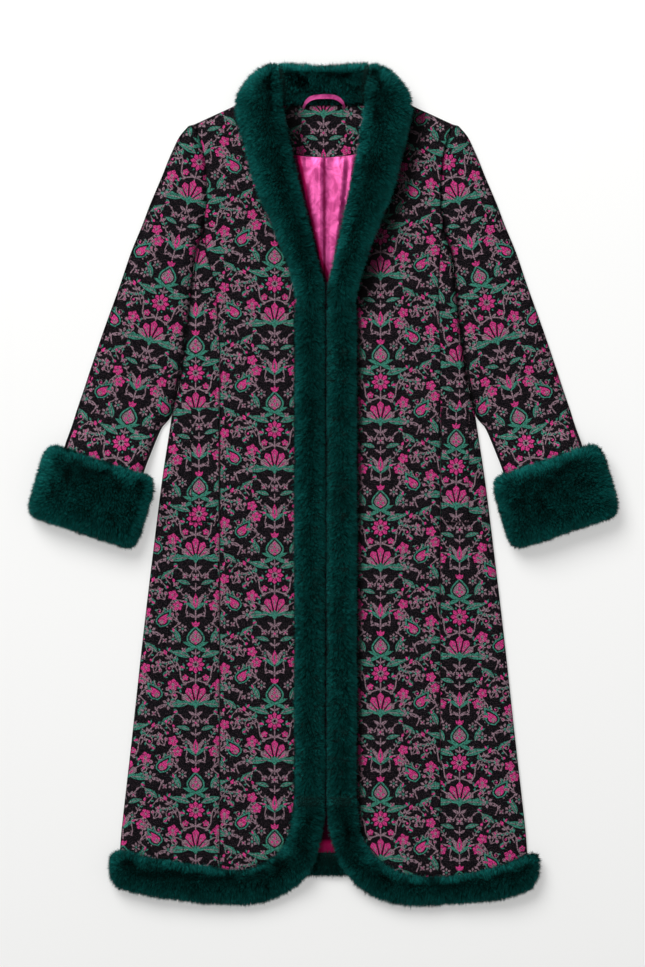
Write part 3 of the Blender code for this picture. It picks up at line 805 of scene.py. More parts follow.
def new_object(name: str, points: np.ndarray, faces: Sequence[Sequence[int]]) -> bpy.types.Object:
    """Makes an object from points in millimetres.

    Args:
        name: The piece's name.
        points: Rows of x, y and z.
        faces: Point numbers of each face.

    Returns:
        The object, linked to the scene and alone selected.
    """
    mesh = bpy.data.meshes.new(name)
    mesh.from_pydata((points * MM).tolist(), [], [list(map(int, f)) for f in faces])
    item = bpy.data.objects.new(name, mesh)
    bpy.context.scene.collection.objects.link(item)
    select_only(item)
    return item


def select_only(item: bpy.types.Object) -> None:
    """Selects one object and makes it the active one.

    Args:
        item: The object.
    """
    bpy.ops.object.select_all(action="DESELECT")
    item.select_set(True)
    bpy.context.view_layer.objects.active = item


def shade_round(item: bpy.types.Object, degrees: float) -> None:
    """Shades a piece smooth, with sharp edges past an angle."""
    select_only(item)
    bpy.ops.object.shade_smooth_by_angle(angle=math.radians(degrees))


def curve_through(points: np.ndarray, step: float) -> np.ndarray:
    """Returns places along a smooth curve through points, without the last one.

    Args:
        points: Rows of x and y.
        step: The distance between places.

    Returns:
        Rows of x and y.
    """
    chain = np.vstack((2 * points[0] - points[1], points, 2 * points[-1] - points[-2]))
    found = []
    for a, b, c, d in zip(chain[:-3], chain[1:-2], chain[2:-1], chain[3:]):
        length = np.linalg.norm(c - b)
        early = (c - a) / max(np.linalg.norm(c - a), TINY) * length
        late = (d - b) / max(np.linalg.norm(d - b), TINY) * length
        t = np.linspace(0.0, 1.0, max(1, int(round(length / step))), endpoint=False)[:, None]
        found.append((2 * t ** 3 - 3 * t ** 2 + 1) * b + (t ** 3 - 2 * t ** 2 + t) * early
                     + (3 * t ** 2 - 2 * t ** 3) * c + (t ** 3 - t ** 2) * late)
    return np.vstack(found)


def distance_to(outline: np.ndarray, plan: np.ndarray) -> np.ndarray:
    """Measures how far places lie from a closed outline.

    Args:
        outline: The outline's points.
        plan: Places in plan.

    Returns:
        A distance for each place.
    """
    count = len(outline)
    wall = [(x, y, z) for z in (-1.0, 1.0) for x, y in outline]
    quads = [(i, (i + 1) % count, count + (i + 1) % count, count + i) for i in range(count)]
    tree = BVHTree.FromPolygons(wall, quads)
    return np.array([tree.find_nearest((x, y, 0.0))[3] for x, y in plan])


def gap_to(path: Sequence[tuple[float, float]], plan: np.ndarray) -> np.ndarray:
    """Measures how far places lie from a run of straight stretches.

    Args:
        path: The points that the stretches join.
        plan: Places in plan.

    Returns:
        A distance for each place.
    """
    found = np.full(len(plan), np.inf)
    for start, end in zip(path[:-1], path[1:]):
        run = np.subtract(end, start)
        along = np.clip((plan - start) @ run / (run @ run), 0.0, 1.0)
        found = np.minimum(found, np.linalg.norm(plan - start - along[:, None] * run, axis=1))
    return found


@dataclass
class ClothPanel:
    """A panel of cloth on the form of its node, with its pattern woven into the right side."""

    node: str
    flat: tuple[float, float]
    area: float
    weave: ClothFrame
    rests_on: tuple[str, ...]
    face: Face = Face.UP
    wall: float = 2.6
    low: float = 0.0
    pitch: float = 11.0
    repeat: Optional[FloralRepeat] = None
    creases: tuple[Crease, ...] = ()
    slot: str = "jacquard"
    step: float = 6.0
    seam_depth: float = 0.9
    seam_breadth: float = 2.4
    roll: float = 0.0
    roll_breadth: float = 18.0
    crisp: float = 1.2
    corner: float = 30.0
    mesh_size: float = 5.0
    upward: float = 0.3
    rows: tuple[float, ...] = (2.2, 5.0)
    edge_gap: float = 1.6
    crease_margin: float = 12.0
    least_wall: float = 0.7
    round_angle: float = 50.0
    least: float = 0.0
    eased: tuple[tuple[float, float], ...] = ()
    shaded_by: tuple[str, ...] = ()
    lamp: tuple[float, float, float] = (-6.4, 5.0, 5.2)
    lamp_size: float = 5.0
    lamp_tilt: float = 0.7
    rays: int = 24
    near_fur: float = 70.0
    valley_shade: float = 0.8
    valley_breadth: float = 6.0
    name: str = field(init=False)

    def __post_init__(self) -> None:
        """Reads the side of the node that the cloth follows."""
        self.name = self.node + "_cloth"
        points, triangles = welded(self.node)
        a, b, c = (points[triangles[:, k]] for k in range(3))
        normal = unit(np.cross(b - a, c - a))
        self.skin = triangles[normal[:, 2] * self.face.value > self.upward]
        self.points = points
        self.tree = tree_of([(points, self.skin)])

    def rim(self) -> np.ndarray:
        """Finds the outline of the panel in plan.

        Returns:
            Its points, anticlockwise.
        """
        return anticlockwise(self.points[rim_loop(self.skin, lowest=False)][:, :2])

    def outline(self) -> np.ndarray:
        """Smooths the round stretches of the outline and keeps its corners.

        Where the panel is eased, its inner edge is drawn toward the body by millimetres given by height.

        Returns:
            The outline's points, anticlockwise.
        """
        plan = self.rim()
        before, after = plan - np.roll(plan, 1, axis=0), np.roll(plan, -1, axis=0) - plan
        cross = before[:, 0] * after[:, 1] - before[:, 1] * after[:, 0]
        bend = np.degrees(np.abs(np.arctan2(cross, (before * after).sum(axis=1))))
        corners = np.nonzero(bend > self.corner)[0]
        runs = []
        for i, j in zip(corners, np.append(corners[1:], corners[0] + len(plan))):
            runs.append(curve_through(plan[np.arange(i, j + 1) % len(plan)], self.step))
        smooth = np.vstack(runs)
        if self.eased:
            inner = np.abs(smooth[:, 0]) < np.interp(smooth[:, 1], *zip(*SLEEVE_MIDDLE))
            shift = np.interp(smooth[:, 1], *zip(*self.eased)) * inner
            smooth[:, 0] -= np.sign(smooth[:, 0]) * shift
        gap = np.linalg.norm(smooth - np.roll(smooth, 1, axis=0), axis=1)
        return smooth[gap > 0.4]

    def cast(self, x: float, y: float) -> Optional[float]:
        """Measures the height of the node's skin.

        Args:
            x: The place across the coat.
            y: The place along it.

        Returns:
            The height, or None beside the skin.
        """
        start = Vector((x, y, 200.0 * self.face.value))
        hit = self.tree.ray_cast(start, Vector((0.0, 0.0, -float(self.face.value))))[0]
        return None if hit is None else hit.z

    def level(self, plan: np.ndarray) -> np.ndarray:
        """Measures the height of the node's skin, softened a little.

        Args:
            plan: Places in plan.

        Returns:
            A height for each place.
        """
        low = self.points[:, :2].min(axis=0) - self.mesh_size
        high = self.points[:, :2].max(axis=0)
        count = np.ceil((high - low) / self.mesh_size).astype(int) + 2
        grid = np.empty(count)
        for i, j in np.ndindex(*count):
            x, y = low + np.array((i, j)) * self.mesh_size
            found = self.cast(x, y)
            grid[i, j] = self.tree.find_nearest((x, y, 10.0))[0].z if found is None else found
        wide = np.pad(grid, 1, mode="edge")
        beside = wide[:-2, 1:-1] + wide[2:, 1:-1] + wide[1:-1, :-2] + wide[1:-1, 2:]
        grid = 0.4 * grid + 0.15 * beside
        spot = (plan - low) / self.mesh_size
        base = np.clip(np.floor(spot).astype(int), 0, count - 2)
        u, v = (spot - base).T
        i, j = base.T
        return ((1 - u) * (1 - v) * grid[i, j] + u * (1 - v) * grid[i + 1, j]
                + (1 - u) * v * grid[i, j + 1] + u * v * grid[i + 1, j + 1])

    def surface(self, plan: np.ndarray, edge: np.ndarray) -> np.ndarray:
        """Returns the height of the right side, with its creases and sunken seams.

        Args:
            plan: Places in plan.
            edge: Each place's distance from the outline.

        Returns:
            Heights in millimetres.
        """
        high = self.level(plan)
        sink = sum((crease.at(plan) for crease in self.creases), np.zeros(len(plan)))
        sink *= np.clip(edge / self.crease_margin, 0.0, 1.0)
        sink += self.roll * np.clip(1.0 - edge / self.roll_breadth, 0.0, 1.0) ** 2
        sink += self.seam_depth * np.exp(-(edge / self.seam_breadth) ** 2)
        found = high - self.face.value * sink
        return np.maximum(found, self.low + self.least_wall) if self.face is Face.UP else found

    def fill(self, outline: np.ndarray) -> np.ndarray:
        """Sets places inside the outline: two rows along it and a staggered grid.

        Args:
            outline: The panel's outline.

        Returns:
            The places in plan.
        """
        run = unit(np.roll(outline, -1, axis=0) - np.roll(outline, 1, axis=0))
        inward = np.column_stack((-run[:, 1], run[:, 0]))
        rows = [outline + inward * reach for reach in self.rows]
        low, high = outline.min(axis=0), outline.max(axis=0)
        grid = []
        for i, y in enumerate(np.arange(low[1], high[1], self.pitch * 0.87)):
            x = np.arange(low[0] + (i % 2) * self.pitch / 2, high[0], self.pitch)
            grid.append(np.column_stack((x, np.full(x.size, y))))
        return well_inside(outline, np.vstack(rows + grid), self.edge_gap)

    def build(self) -> bpy.types.Object:
        """Makes the panel as a closed shell with the yarn of each face.

        Returns:
            The panel.
        """
        outline = self.outline()
        cloth = self.weave.to_cloth(outline)
        woven = self.repeat.over(cloth.min(axis=0), cloth.max(axis=0), self.least) if self.repeat else []
        patches = [Patch(self.weave.to_coat(p.points), p.yarn) for p in woven]
        plan, triangles, yarns = triangulated(outline, self.fill(outline), patches)
        edge = distance_to(outline, plan)
        skin = np.column_stack((plan, self.surface(plan, edge)))
        loop = rim_loop(triangles)
        inner_plan, inner = under_side(plan[loop], self.pitch * 2.4)
        inner_edge = distance_to(outline, inner_plan)
        depth = self.face.value * self.wall
        under = np.column_stack((inner_plan, self.surface(inner_plan, inner_edge) - depth))
        if self.face is Face.UP:
            under[:, 2] = np.maximum(under[:, 2], self.low)
        count = len(skin)
        faces = [list(t) for t in triangles]
        faces += [[count + t[0], count + t[2], count + t[1]] for t in inner]
        ring = list(range(len(loop)))
        faces += [[loop[b], loop[a], count + a, count + b] for a, b in zip(ring, ring[1:] + ring[:1])]
        if self.face is Face.DOWN:
            faces = [f[::-1] for f in faces]
        item = new_object(self.name, np.vstack((skin, under)), faces)
        self.lay_weave(item, np.vstack((plan, inner_plan)), yarns)
        # The scaled distance from the outline sets painted shade along edges and seams; the light share sets
        # painted shadow.
        store(item, "edge", np.concatenate((edge, inner_edge)) * self.crisp)
        store(item, "light", self.light_on(np.vstack((skin, under))))
        shade_round(item, self.round_angle)
        return item

    def lay_weave(self, item: bpy.types.Object, plan: np.ndarray, yarns: list[Yarn]) -> None:
        """Gives the panel its cloth map and the yarn of each face.

        Args:
            item: The panel.
            plan: The place of each point in plan.
            yarns: The yarns of the first faces; the others show the ground.
        """
        mesh = item.data
        cloth = (self.weave.to_cloth(plan) * MM).astype(np.float32)
        corners = np.empty(len(mesh.loops), np.int32)
        mesh.loops.foreach_get("vertex_index", corners)
        layer = mesh.uv_layers.new(name="cloth")
        layer.uv.foreach_set("vector", cloth[corners].ravel())
        shades = {yarn: (*to_linear(yarn.value)[:3], float(yarn is not Yarn.GROUND)) for yarn in Yarn}
        tone = [shades[yarn] for yarn in yarns]
        tone += [shades[Yarn.GROUND]] * (len(mesh.polygons) - len(yarns))
        attribute = mesh.attributes.new("yarn", "FLOAT_COLOR", "FACE")
        attribute.data.foreach_set("color", np.array(tone, np.float32).ravel())

    def light_on(self, points: np.ndarray) -> np.ndarray:
        """Returns how much of a broad lamp each point sees past the deep furs beside it.

        The share is painted shadow, which darkens the cloth's colour beside the edge of the pile over the
        shadow that the lamps cast; painted shade darkens it along the line where a sleeve is folded against
        the body.

        Args:
            points: The panel's points.

        Returns:
            Shares from 0 to 1.
        """
        plan = np.column_stack((np.abs(points[:, 0]), points[:, 1]))
        found = 1.0 - self.valley_shade * np.exp(-(gap_to(VALLEY, plan) / self.valley_breadth) ** 2)
        if not self.shaded_by:
            return found
        tree = tree_of([welded(name) for name in self.shaded_by])
        turn = np.arange(self.rays) * GOLDEN_TURN
        around = np.sqrt((np.arange(self.rays) + 0.5) / self.rays) * self.lamp_size / 2.0
        across, along = around * np.cos(turn), around * np.sin(turn) * self.lamp_tilt
        ways = [Vector(way) for way in np.array(self.lamp) + np.column_stack((across, along, -along))]
        for i, point in enumerate(points + (0.0, 0.0, 0.5)):
            if tree.find_nearest(point, self.near_fur)[0] is not None:
                found[i] *= np.mean([tree.ray_cast(point, way)[0] is None for way in ways])
        return found

    def dress(self, item: bpy.types.Object, material: bpy.types.Material) -> None:
        """Args:
            item: The panel.
            material: Its cloth.
        """
        item.data.materials.append(material)
        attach(item, "root")
        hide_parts(self.node)


def inside(outline: np.ndarray, places: np.ndarray) -> np.ndarray:
    """Tells which places lie inside a closed outline.

    Args:
        outline: The outline's points.
        places: Places in plan.

    Returns:
        True for each place inside.
    """
    found = np.zeros(len(places), bool)
    for (ax, ay), (bx, by) in zip(outline, np.roll(outline, -1, axis=0)):
        if ay == by:
            continue
        span = (ay > places[:, 1]) != (by > places[:, 1])
        found ^= span & (places[:, 0] < (bx - ax) * (places[:, 1] - ay) / (by - ay) + ax)
    return found


def well_inside(outline: np.ndarray, places: np.ndarray, gap: float) -> np.ndarray:
    """Keeps the places that lie inside a closed outline and some way from it.

    Args:
        outline: The outline's points.
        places: Places in plan.
        gap: The least distance from the outline.

    Returns:
        The places kept.
    """
    kept = places[inside(outline, places)]
    return kept[distance_to(outline, kept) > gap]


def grid_of(across: np.ndarray, along: np.ndarray) -> np.ndarray:
    """Returns the places of a grid, row by row."""
    x, y = np.meshgrid(across, along)
    return np.column_stack((x.ravel(), y.ravel()))


def triangulated(outline: np.ndarray, fill: np.ndarray,
                 patches: Sequence[Patch]) -> tuple[np.ndarray, np.ndarray, list[Yarn]]:
    """Cuts the plan of a panel into triangles along the edges of its woven areas.

    Args:
        outline: The panel's outline, anticlockwise.
        fill: Further places inside it.
        patches: The woven areas, later ones over earlier ones.

    Returns:
        The places, rows of three place numbers, and the yarn of each triangle.
    """
    places = [Vector(p) for p in outline]
    faces = [list(range(len(places)))]
    for patch in patches:
        ordered = anticlockwise(patch.points)
        faces.append(list(range(len(places), len(places) + len(ordered))))
        places += [Vector(p) for p in ordered]
    places += [Vector(p) for p in fill]
    points, _, triangles, _, _, owners = delaunay_2d_cdt(places, [], faces, 1, 0.002, True)
    kept, yarns = [], []
    for triangle, owner in zip(triangles, owners):
        if 0 in owner:
            top = max(owner)
            kept.append(triangle)
            yarns.append(patches[top - 1].yarn if top else Yarn.GROUND)
    used = np.unique(np.array(kept))
    number = np.full(len(points), -1)
    number[used] = np.arange(len(used))
    return np.array([points[i] for i in used]), number[np.array(kept)], yarns


def rim_loop(triangles: np.ndarray, lowest: bool = True) -> list[int]:
    """Walks round the edge of a sheet of triangles.

    Args:
        triangles: Rows of three point numbers.
        lowest: Whether the walk starts at the lowest number, or else at the first edge met.

    Returns:
        The points of the edge, in order.
    """
    edges = dict.fromkeys((int(a), int(b)) for tri in triangles for a, b in zip(tri, np.roll(tri, -1)))
    after = {a: b for a, b in edges if (b, a) not in edges}
    start = min(after) if lowest else next(iter(after))
    loop = [start]
    while after[loop[-1]] != start:
        loop.append(after[loop[-1]])
    return loop


def under_side(loop: np.ndarray, pitch: float) -> tuple[np.ndarray, np.ndarray]:
    """Fills the plan of a panel's wrong side with large triangles.

    Args:
        loop: The places round its edge.
        pitch: The distance between the places inside.

    Returns:
        The places, the loop's first and in its order, and rows of three place numbers.
    """
    low, high = loop.min(axis=0), loop.max(axis=0)
    grid = grid_of(np.arange(low[0], high[0], pitch), np.arange(low[1], high[1], pitch))
    places = np.vstack((loop, well_inside(loop, grid, pitch * 0.3)))
    _, _, triangles, origin, _, owners = delaunay_2d_cdt(
        [Vector(p) for p in places], [], [list(range(len(loop)))], 1, 1e-7, True)
    number = np.array([min(o) for o in origin])
    return places, number[np.array([t for t, owner in zip(triangles, owners) if owner])]


@dataclass
class Lining(ClothPanel):
    """The satin back lining: a centre pleat and soft folds where the neck shows it."""

    slot: str = "satin"
    fine: float = 2.8
    shown_from: float = 256.0
    neck_top: float = 492.0
    pleat: float = 1.3
    pleat_from: float = 262.0
    pleat_fade: float = 50.0
    pleat_wall: float = 0.6
    slit_top: float = -450.0
    strip_top: float = -512.0
    strip_fade: float = 16.0
    strip_light: float = 0.77

    def fill(self, outline: np.ndarray) -> np.ndarray:
        """Adds a finer grid where the lining shows in the neck and in the hem slit.

        Args:
            outline: The panel's outline.

        Returns:
            The places in plan.
        """
        coarse = super().fill(outline)
        across = np.concatenate((np.arange(-70.0, -3.0, self.fine), self.pleat + np.arange(-3.2, 3.3, 0.8),
                                 np.arange(6.0, 71.0, self.fine)))
        neck = grid_of(across, np.arange(self.shown_from, self.neck_top, self.fine * 1.7))
        slit = grid_of(np.arange(-26.0, 34.0, self.fine), np.arange(-541.0, self.slit_top, self.fine))
        grid = well_inside(outline, np.vstack((neck, slit)), self.edge_gap)
        kept = coarse[coarse[:, 1] < self.shown_from]
        x, y = kept.T
        shown = (np.abs(x - 4.0) < 31.0) & (y < self.slit_top) & (y > -540.0)
        return np.vstack((kept[~shown], grid))

    def light_on(self, points: np.ndarray) -> np.ndarray:
        """Leaves only the last strip of the hem slit open to the light.

        Args:
            points: The lining's points.

        Returns:
            Shares from 0 to 1.
        """
        # Painted shade: the hem slit is drawn dark, and only its last strip partly lit.
        open_strip = self.strip_light * np.clip((self.strip_top - points[:, 1]) / self.strip_fade, 0.0, 1.0)
        return np.where(points[:, 1] < -400.0, open_strip, super().light_on(points))

    def surface(self, plan: np.ndarray, edge: np.ndarray) -> np.ndarray:
        """Adds the centre pleat, its left side pressed over its right.

        Args:
            plan: Places in plan.
            edge: Each place's distance from the outline.

        Returns:
            Heights in millimetres.
        """
        high = super().surface(plan, edge)
        shown = np.clip((plan[:, 1] - self.pleat_from) / self.pleat_fade, 0.0, 1.0)
        aside = plan[:, 0] - self.pleat
        roll = np.exp(-(aside / 10.0) ** 2) / (1.0 + np.exp(aside * 5.0))
        hollow = np.exp(-((aside - 1.2) / 1.7) ** 2)
        return np.maximum(high + shown * (1.7 * roll - 0.9 * hollow), self.low + self.pleat_wall)


def store(item: bpy.types.Object, name: str, values: Sequence[float]) -> None:
    """Stores one value on each point of a piece for its finish to read."""
    attribute = item.data.attributes.new(name, "FLOAT", "POINT")
    attribute.data.foreach_set("value", np.array(values, np.float32))


def noise_at(places: np.ndarray, size: float, seed: int) -> np.ndarray:
    """Returns smooth random values, three for each place.

    Args:
        places: Rows of x, y and z in millimetres.
        size: The distance over which the values change.
        seed: The seed.

    Returns:
        Rows of three values from -1 to 1.
    """
    cells = 32
    lattice = np.random.default_rng(seed).uniform(-1.0, 1.0, (cells, cells, cells, 3))
    grid = places / size
    base = np.floor(grid).astype(int)
    part = grid - base
    part = part * part * (3.0 - 2.0 * part)
    total = np.zeros((len(places), 3))
    for corner in np.ndindex(2, 2, 2):
        share = np.where(corner, part, 1 - part).prod(axis=1)
        cell = (base + corner) % cells
        total += share[:, None] * lattice[cell[:, 0], cell[:, 1], cell[:, 2]]
    return total


def joined(parts: Sequence[tuple[np.ndarray, np.ndarray]]) -> tuple[np.ndarray, list[list[int]]]:
    """Joins some shells.

    Args:
        parts: Points and triangles of each shell.

    Returns:
        All the points, and the triangles numbered through them.
    """
    starts = np.cumsum([0] + [len(points) for points, _ in parts])
    triangles = np.vstack([corners + start for (_, corners), start in zip(parts, starts)])
    return np.vstack([points for points, _ in parts]), triangles.tolist()


def tree_of(parts: Sequence[tuple[np.ndarray, np.ndarray]]) -> BVHTree:
    """Makes one search tree of some shells."""
    points, triangles = joined(parts)
    return BVHTree.FromPolygons(points.tolist(), triangles)


@dataclass
class FormSurface:
    """The points, outward directions and triangles of a form, in millimetres."""

    points: np.ndarray
    normals: np.ndarray
    triangles: np.ndarray
    thickness_share: float = 0.38
    rounds: int = 14

    @classmethod
    def of(cls, item: bpy.types.Object) -> "FormSurface":
        """Reads the surface of an object.

        Args:
            item: The object.

        Returns:
            Its surface.
        """
        mesh = item.data
        mesh.calc_loop_triangles()
        points = np.array([v.co for v in mesh.vertices]) / MM
        normals = np.array([v.normal for v in mesh.vertices])
        return cls(points, normals, np.array([t.vertices for t in mesh.loop_triangles]))

    def depths(self, most: float) -> np.ndarray:
        """Works out how far a backing may lie below each point: part of the thickness there.

        Args:
            most: The greatest depth.

        Returns:
            A depth for each point.
        """
        tree = tree_of([(self.points, self.triangles)])
        found = np.empty(len(self.points))
        for i, (point, normal) in enumerate(zip(self.points, self.normals)):
            across = tree.ray_cast(Vector(point - normal * 0.05), Vector(-normal))[3] or 3.0
            upright = Vector((0.0, 0.0, -1.0 if normal[2] > 0 else 1.0))
            through = tree.ray_cast(Vector(point - normal * 3.0), upright)[3] or 3.0
            found[i] = min(most, self.thickness_share * min(across, through + 3.0))
        return found

    def spread(self) -> np.ndarray:
        """Averages the outward directions over a broad patch, so that they tip over toward an edge.

        Returns:
            A direction for each point.
        """
        pairs = np.vstack([self.triangles[:, k] for k in ([0, 1], [1, 2], [2, 0])])
        smooth = self.normals.copy()
        for _ in range(self.rounds):
            total, count = smooth.copy(), np.ones(len(smooth))
            for i, j in ((0, 1), (1, 0)):
                np.add.at(total, pairs[:, i], smooth[pairs[:, j]])
                np.add.at(count, pairs[:, i], 1.0)
            smooth = total / count[:, None]
        return smooth


@dataclass
class FurPiece:
    """A piece of faux fur: a backing inside the form of its node and hair that reaches past it."""

    node: str
    flat: tuple[float, float]
    rests_on: tuple[str, ...]
    joins: tuple[tuple[str, tuple[float, float, float]], ...] = ()
    widen: tuple[tuple[float, float, float], ...] = ()
    mates: tuple[str, ...] = ()
    comb: tuple[float, float, float] = (0.0, -2.0, 0.0)
    density: float = 1.35
    highest_facing: float = 1.1
    pile: float = 8.0
    proud: float = 2.8
    guard_share: float = 0.12
    guard_length: float = 3.6
    swell: float = 1.4
    fan: float = 6.4
    lock: float = 2.5
    lock_size: float = 15.0
    tuft: int = 20
    clump: float = 0.32
    partings: tuple[tuple[float, float, float, float], ...] = ()
    middle: tuple[float, float] = (-FAR, FAR)
    width: float = 0.72
    tone: float = 0.27
    painted_edge_light: float = 0.42
    drift_tone: float = 0.22
    lock_tone: float = 0.2
    painted_parting_shade: float = 0.4
    chance: float = 0.13
    parting_depth: float = 4.0
    parting_breadth: float = 1.9
    lowest_facing: float = -0.75
    stray: float = 0.6
    seam_gap: float = 5.0
    seam_run: float = 8.0
    backing_floor: float = 0.3
    hair_floor: float = 0.4
    round_angle: float = 80.0
    voxel: float = 5.0
    seed: int = 1
    area: Optional[float] = None

    def even_form(self, name: str, parts: Sequence[tuple[np.ndarray, np.ndarray]]) -> bpy.types.Object:
        """Makes one even, rounded form of some closed shells.

        Args:
            name: The form's name.
            parts: Points and triangles of each shell.

        Returns:
            The form.
        """
        item = new_object(name, *joined(parts))
        even = item.modifiers.new("even", "REMESH")
        even.mode = "VOXEL"
        even.voxel_size = self.voxel * MM
        bpy.ops.object.modifier_apply(modifier="even")
        soft = item.modifiers.new("soft", "SMOOTH")
        soft.factor = 0.5
        soft.iterations = 3
        bpy.ops.object.modifier_apply(modifier="soft")
        return item

    def build(self) -> tuple[bpy.types.Object, bpy.types.Object]:
        """Makes the backing and its hair.

        Hair is grown on a form that runs on into the pieces it is sewn to, so no seam parts it.

        Returns:
            The backing and the hair.
        """
        own = welded(self.node)
        mine = [own] + [(own[0] + shift, own[1]) for shift in self.widen]
        theirs = [welded(name) for name, _ in self.joins]
        reaching = [(points + shift, triangles)
                    for (points, triangles), (_, shift) in zip(theirs, self.joins)]
        form = self.even_form(self.node + "_form", mine + reaching)
        whole = FormSurface.of(form)
        share = np.ones(len(whole.triangles))
        if theirs:
            near, far = tree_of(mine), tree_of(theirs)
            centres = whole.points[whole.triangles].mean(axis=1)
            share = np.array([float(near.find_nearest(c)[3] <= far.find_nearest(c)[3] + 0.5)
                              for c in centres])
        hair = self.hair(whole, whole.depths(self.pile), share)
        bpy.data.objects.remove(form)
        backing = self.even_form(self.node + "_backing", mine)
        skin = FormSurface.of(backing)
        depth = skin.depths(self.pile) * np.clip(1.0 + 2.0 * skin.normals[:, 2], 0.0, 1.0)
        sewn = theirs + [welded(name) for name in self.mates]
        if sewn:
            seam = tree_of(sewn)
            gaps = np.array([seam.find_nearest(p)[3] for p in skin.points])
            depth *= np.clip((gaps - self.seam_gap) / self.seam_run, 0.0, 1.0)
        shrunk = skin.points - skin.normals * depth[:, None]
        shrunk[:, 2] = np.maximum(shrunk[:, 2], self.backing_floor)
        backing.data.vertices.foreach_set("co", (shrunk * MM).astype(np.float32).ravel())
        backing.data.update()
        shade_round(backing, self.round_angle)
        return backing, hair

    def hair(self, form: FormSurface, depth: np.ndarray, share: np.ndarray) -> bpy.types.Object:
        """Grows the hair: fine blades that fan out toward the edges of the piece.

        Args:
            form: The form that the tips reach.
            depth: How far below each point of the form the roots lie.
            share: 1 for each triangle of the form that belongs to this piece, or else 0.

        Returns:
            The hair.
        """
        random = np.random.default_rng(self.seed)
        a, b, c = (form.points[form.triangles[:, k]] for k in range(3))
        cross = np.cross(b - a, c - a)
        area = np.linalg.norm(cross, axis=1) / 2.0
        facing = cross[:, 2] / np.maximum(2.0 * area, TINY)
        grown = np.clip((facing - self.lowest_facing) / 0.5, 0.0, 1.0) * (facing < self.highest_facing)
        weight = area * share * grown
        count = int(weight.sum() * self.density)
        corners = form.triangles[random.choice(len(area), count, p=weight / weight.sum())]
        mix = random.dirichlet((1.0, 1.0, 1.0), count)[:, :, None]
        spot = (form.points[corners] * mix).sum(axis=1)
        out = unit((form.normals[corners] * mix).sum(axis=1))
        spread = (form.spread()[corners] * mix).sum(axis=1)
        deep = (depth[corners] * mix[:, :, 0]).sum(axis=1)
        locks = noise_at(spot, self.lock_size, self.seed + 50)
        guide = self.guides(spot, random)
        parted = self.parted(spot)
        lean = np.array(self.comb) + locks * self.lock + spread * (self.fan, self.fan, 0.0)
        lean = lean + random.normal(0.0, self.stray, (count, 3))
        lean -= out * (lean * out).sum(axis=1)[:, None]
        drifts = noise_at(spot, self.lock_size * 2.4, self.seed + 70)
        uneven = random.uniform(-0.9, 0.9, count) + 0.2 * locks[:, 2] + 0.5 * drifts[:, 2]
        guard = random.uniform(0.0, 1.0, count) < self.guard_share
        reach = self.swell + self.proud * uneven
        reach += self.guard_length * guard - self.parting_depth * parted
        root = spot - out * (deep * 0.9)[:, None]
        tip = spot + out * reach[:, None] + lean
        tip += (tip[guide] - tip) * self.clump * random.uniform(0.5, 1.2, (count, 1))
        broad = np.cross(tip - root, random.normal(0.0, 1.0, (count, 3)))
        broad *= self.width / 2.0 / np.maximum(np.linalg.norm(broad, axis=1), TINY)[:, None]
        turned_in = (np.cross(broad, tip - root) * out).sum(axis=1) < 0
        broad[turned_in] *= -1.0
        blades = np.stack((root - broad, root + broad, tip), axis=1)
        blades[..., 2] = np.maximum(blades[..., 2], self.hair_floor)
        blades[..., 0] = np.clip(blades[..., 0], *self.middle)
        edge = np.linalg.norm(spread[:, :2], axis=1)
        # Painted light and shade: hairs toward a piece's edges are drawn lighter, hairs at a parting darker;
        # the other terms are random tone.
        shade = (self.tone + self.painted_edge_light * edge + self.drift_tone * drifts[:, 0]
                 + self.lock_tone * locks[:, 1] - self.painted_parting_shade * parted)
        shade = shade + random.normal(0.0, self.chance, count)[guide] + random.normal(0.0, self.chance, count)
        facing_way = 0.6 * out + (0.0, 0.0, 0.5) + 0.06 * lean + random.normal(0.0, 0.3, (count, 3))
        return self.hair_mesh(blades, np.clip(shade, 0.0, 1.0), facing_way)

    def guides(self, spot: np.ndarray, random: np.random.Generator) -> np.ndarray:
        """Returns for each hair the hair that its tuft follows.

        Args:
            spot: The place of each hair on the form.
            random: The source of chance.

        Returns:
            Hair numbers.
        """
        leaders = random.choice(len(spot), len(spot) // self.tuft, replace=False)
        tree = KDTree(len(leaders))
        for leader in leaders:
            tree.insert(spot[leader], int(leader))
        tree.balance()
        return np.array([tree.find(place)[1] for place in spot])

    def parted(self, spot: np.ndarray) -> np.ndarray:
        """Works out how far each hair is caught in a sewn line.

        Args:
            spot: The place of each hair on the form.

        Returns:
            Shares from 0 to 1.
        """
        found = np.zeros(len(spot))
        for x0, y0, x1, y1 in self.partings:
            gap = gap_to(((x0, y0), (x1, y1)), spot[:, :2])
            found = np.maximum(found, np.exp(-(gap / self.parting_breadth) ** 2))
        return found

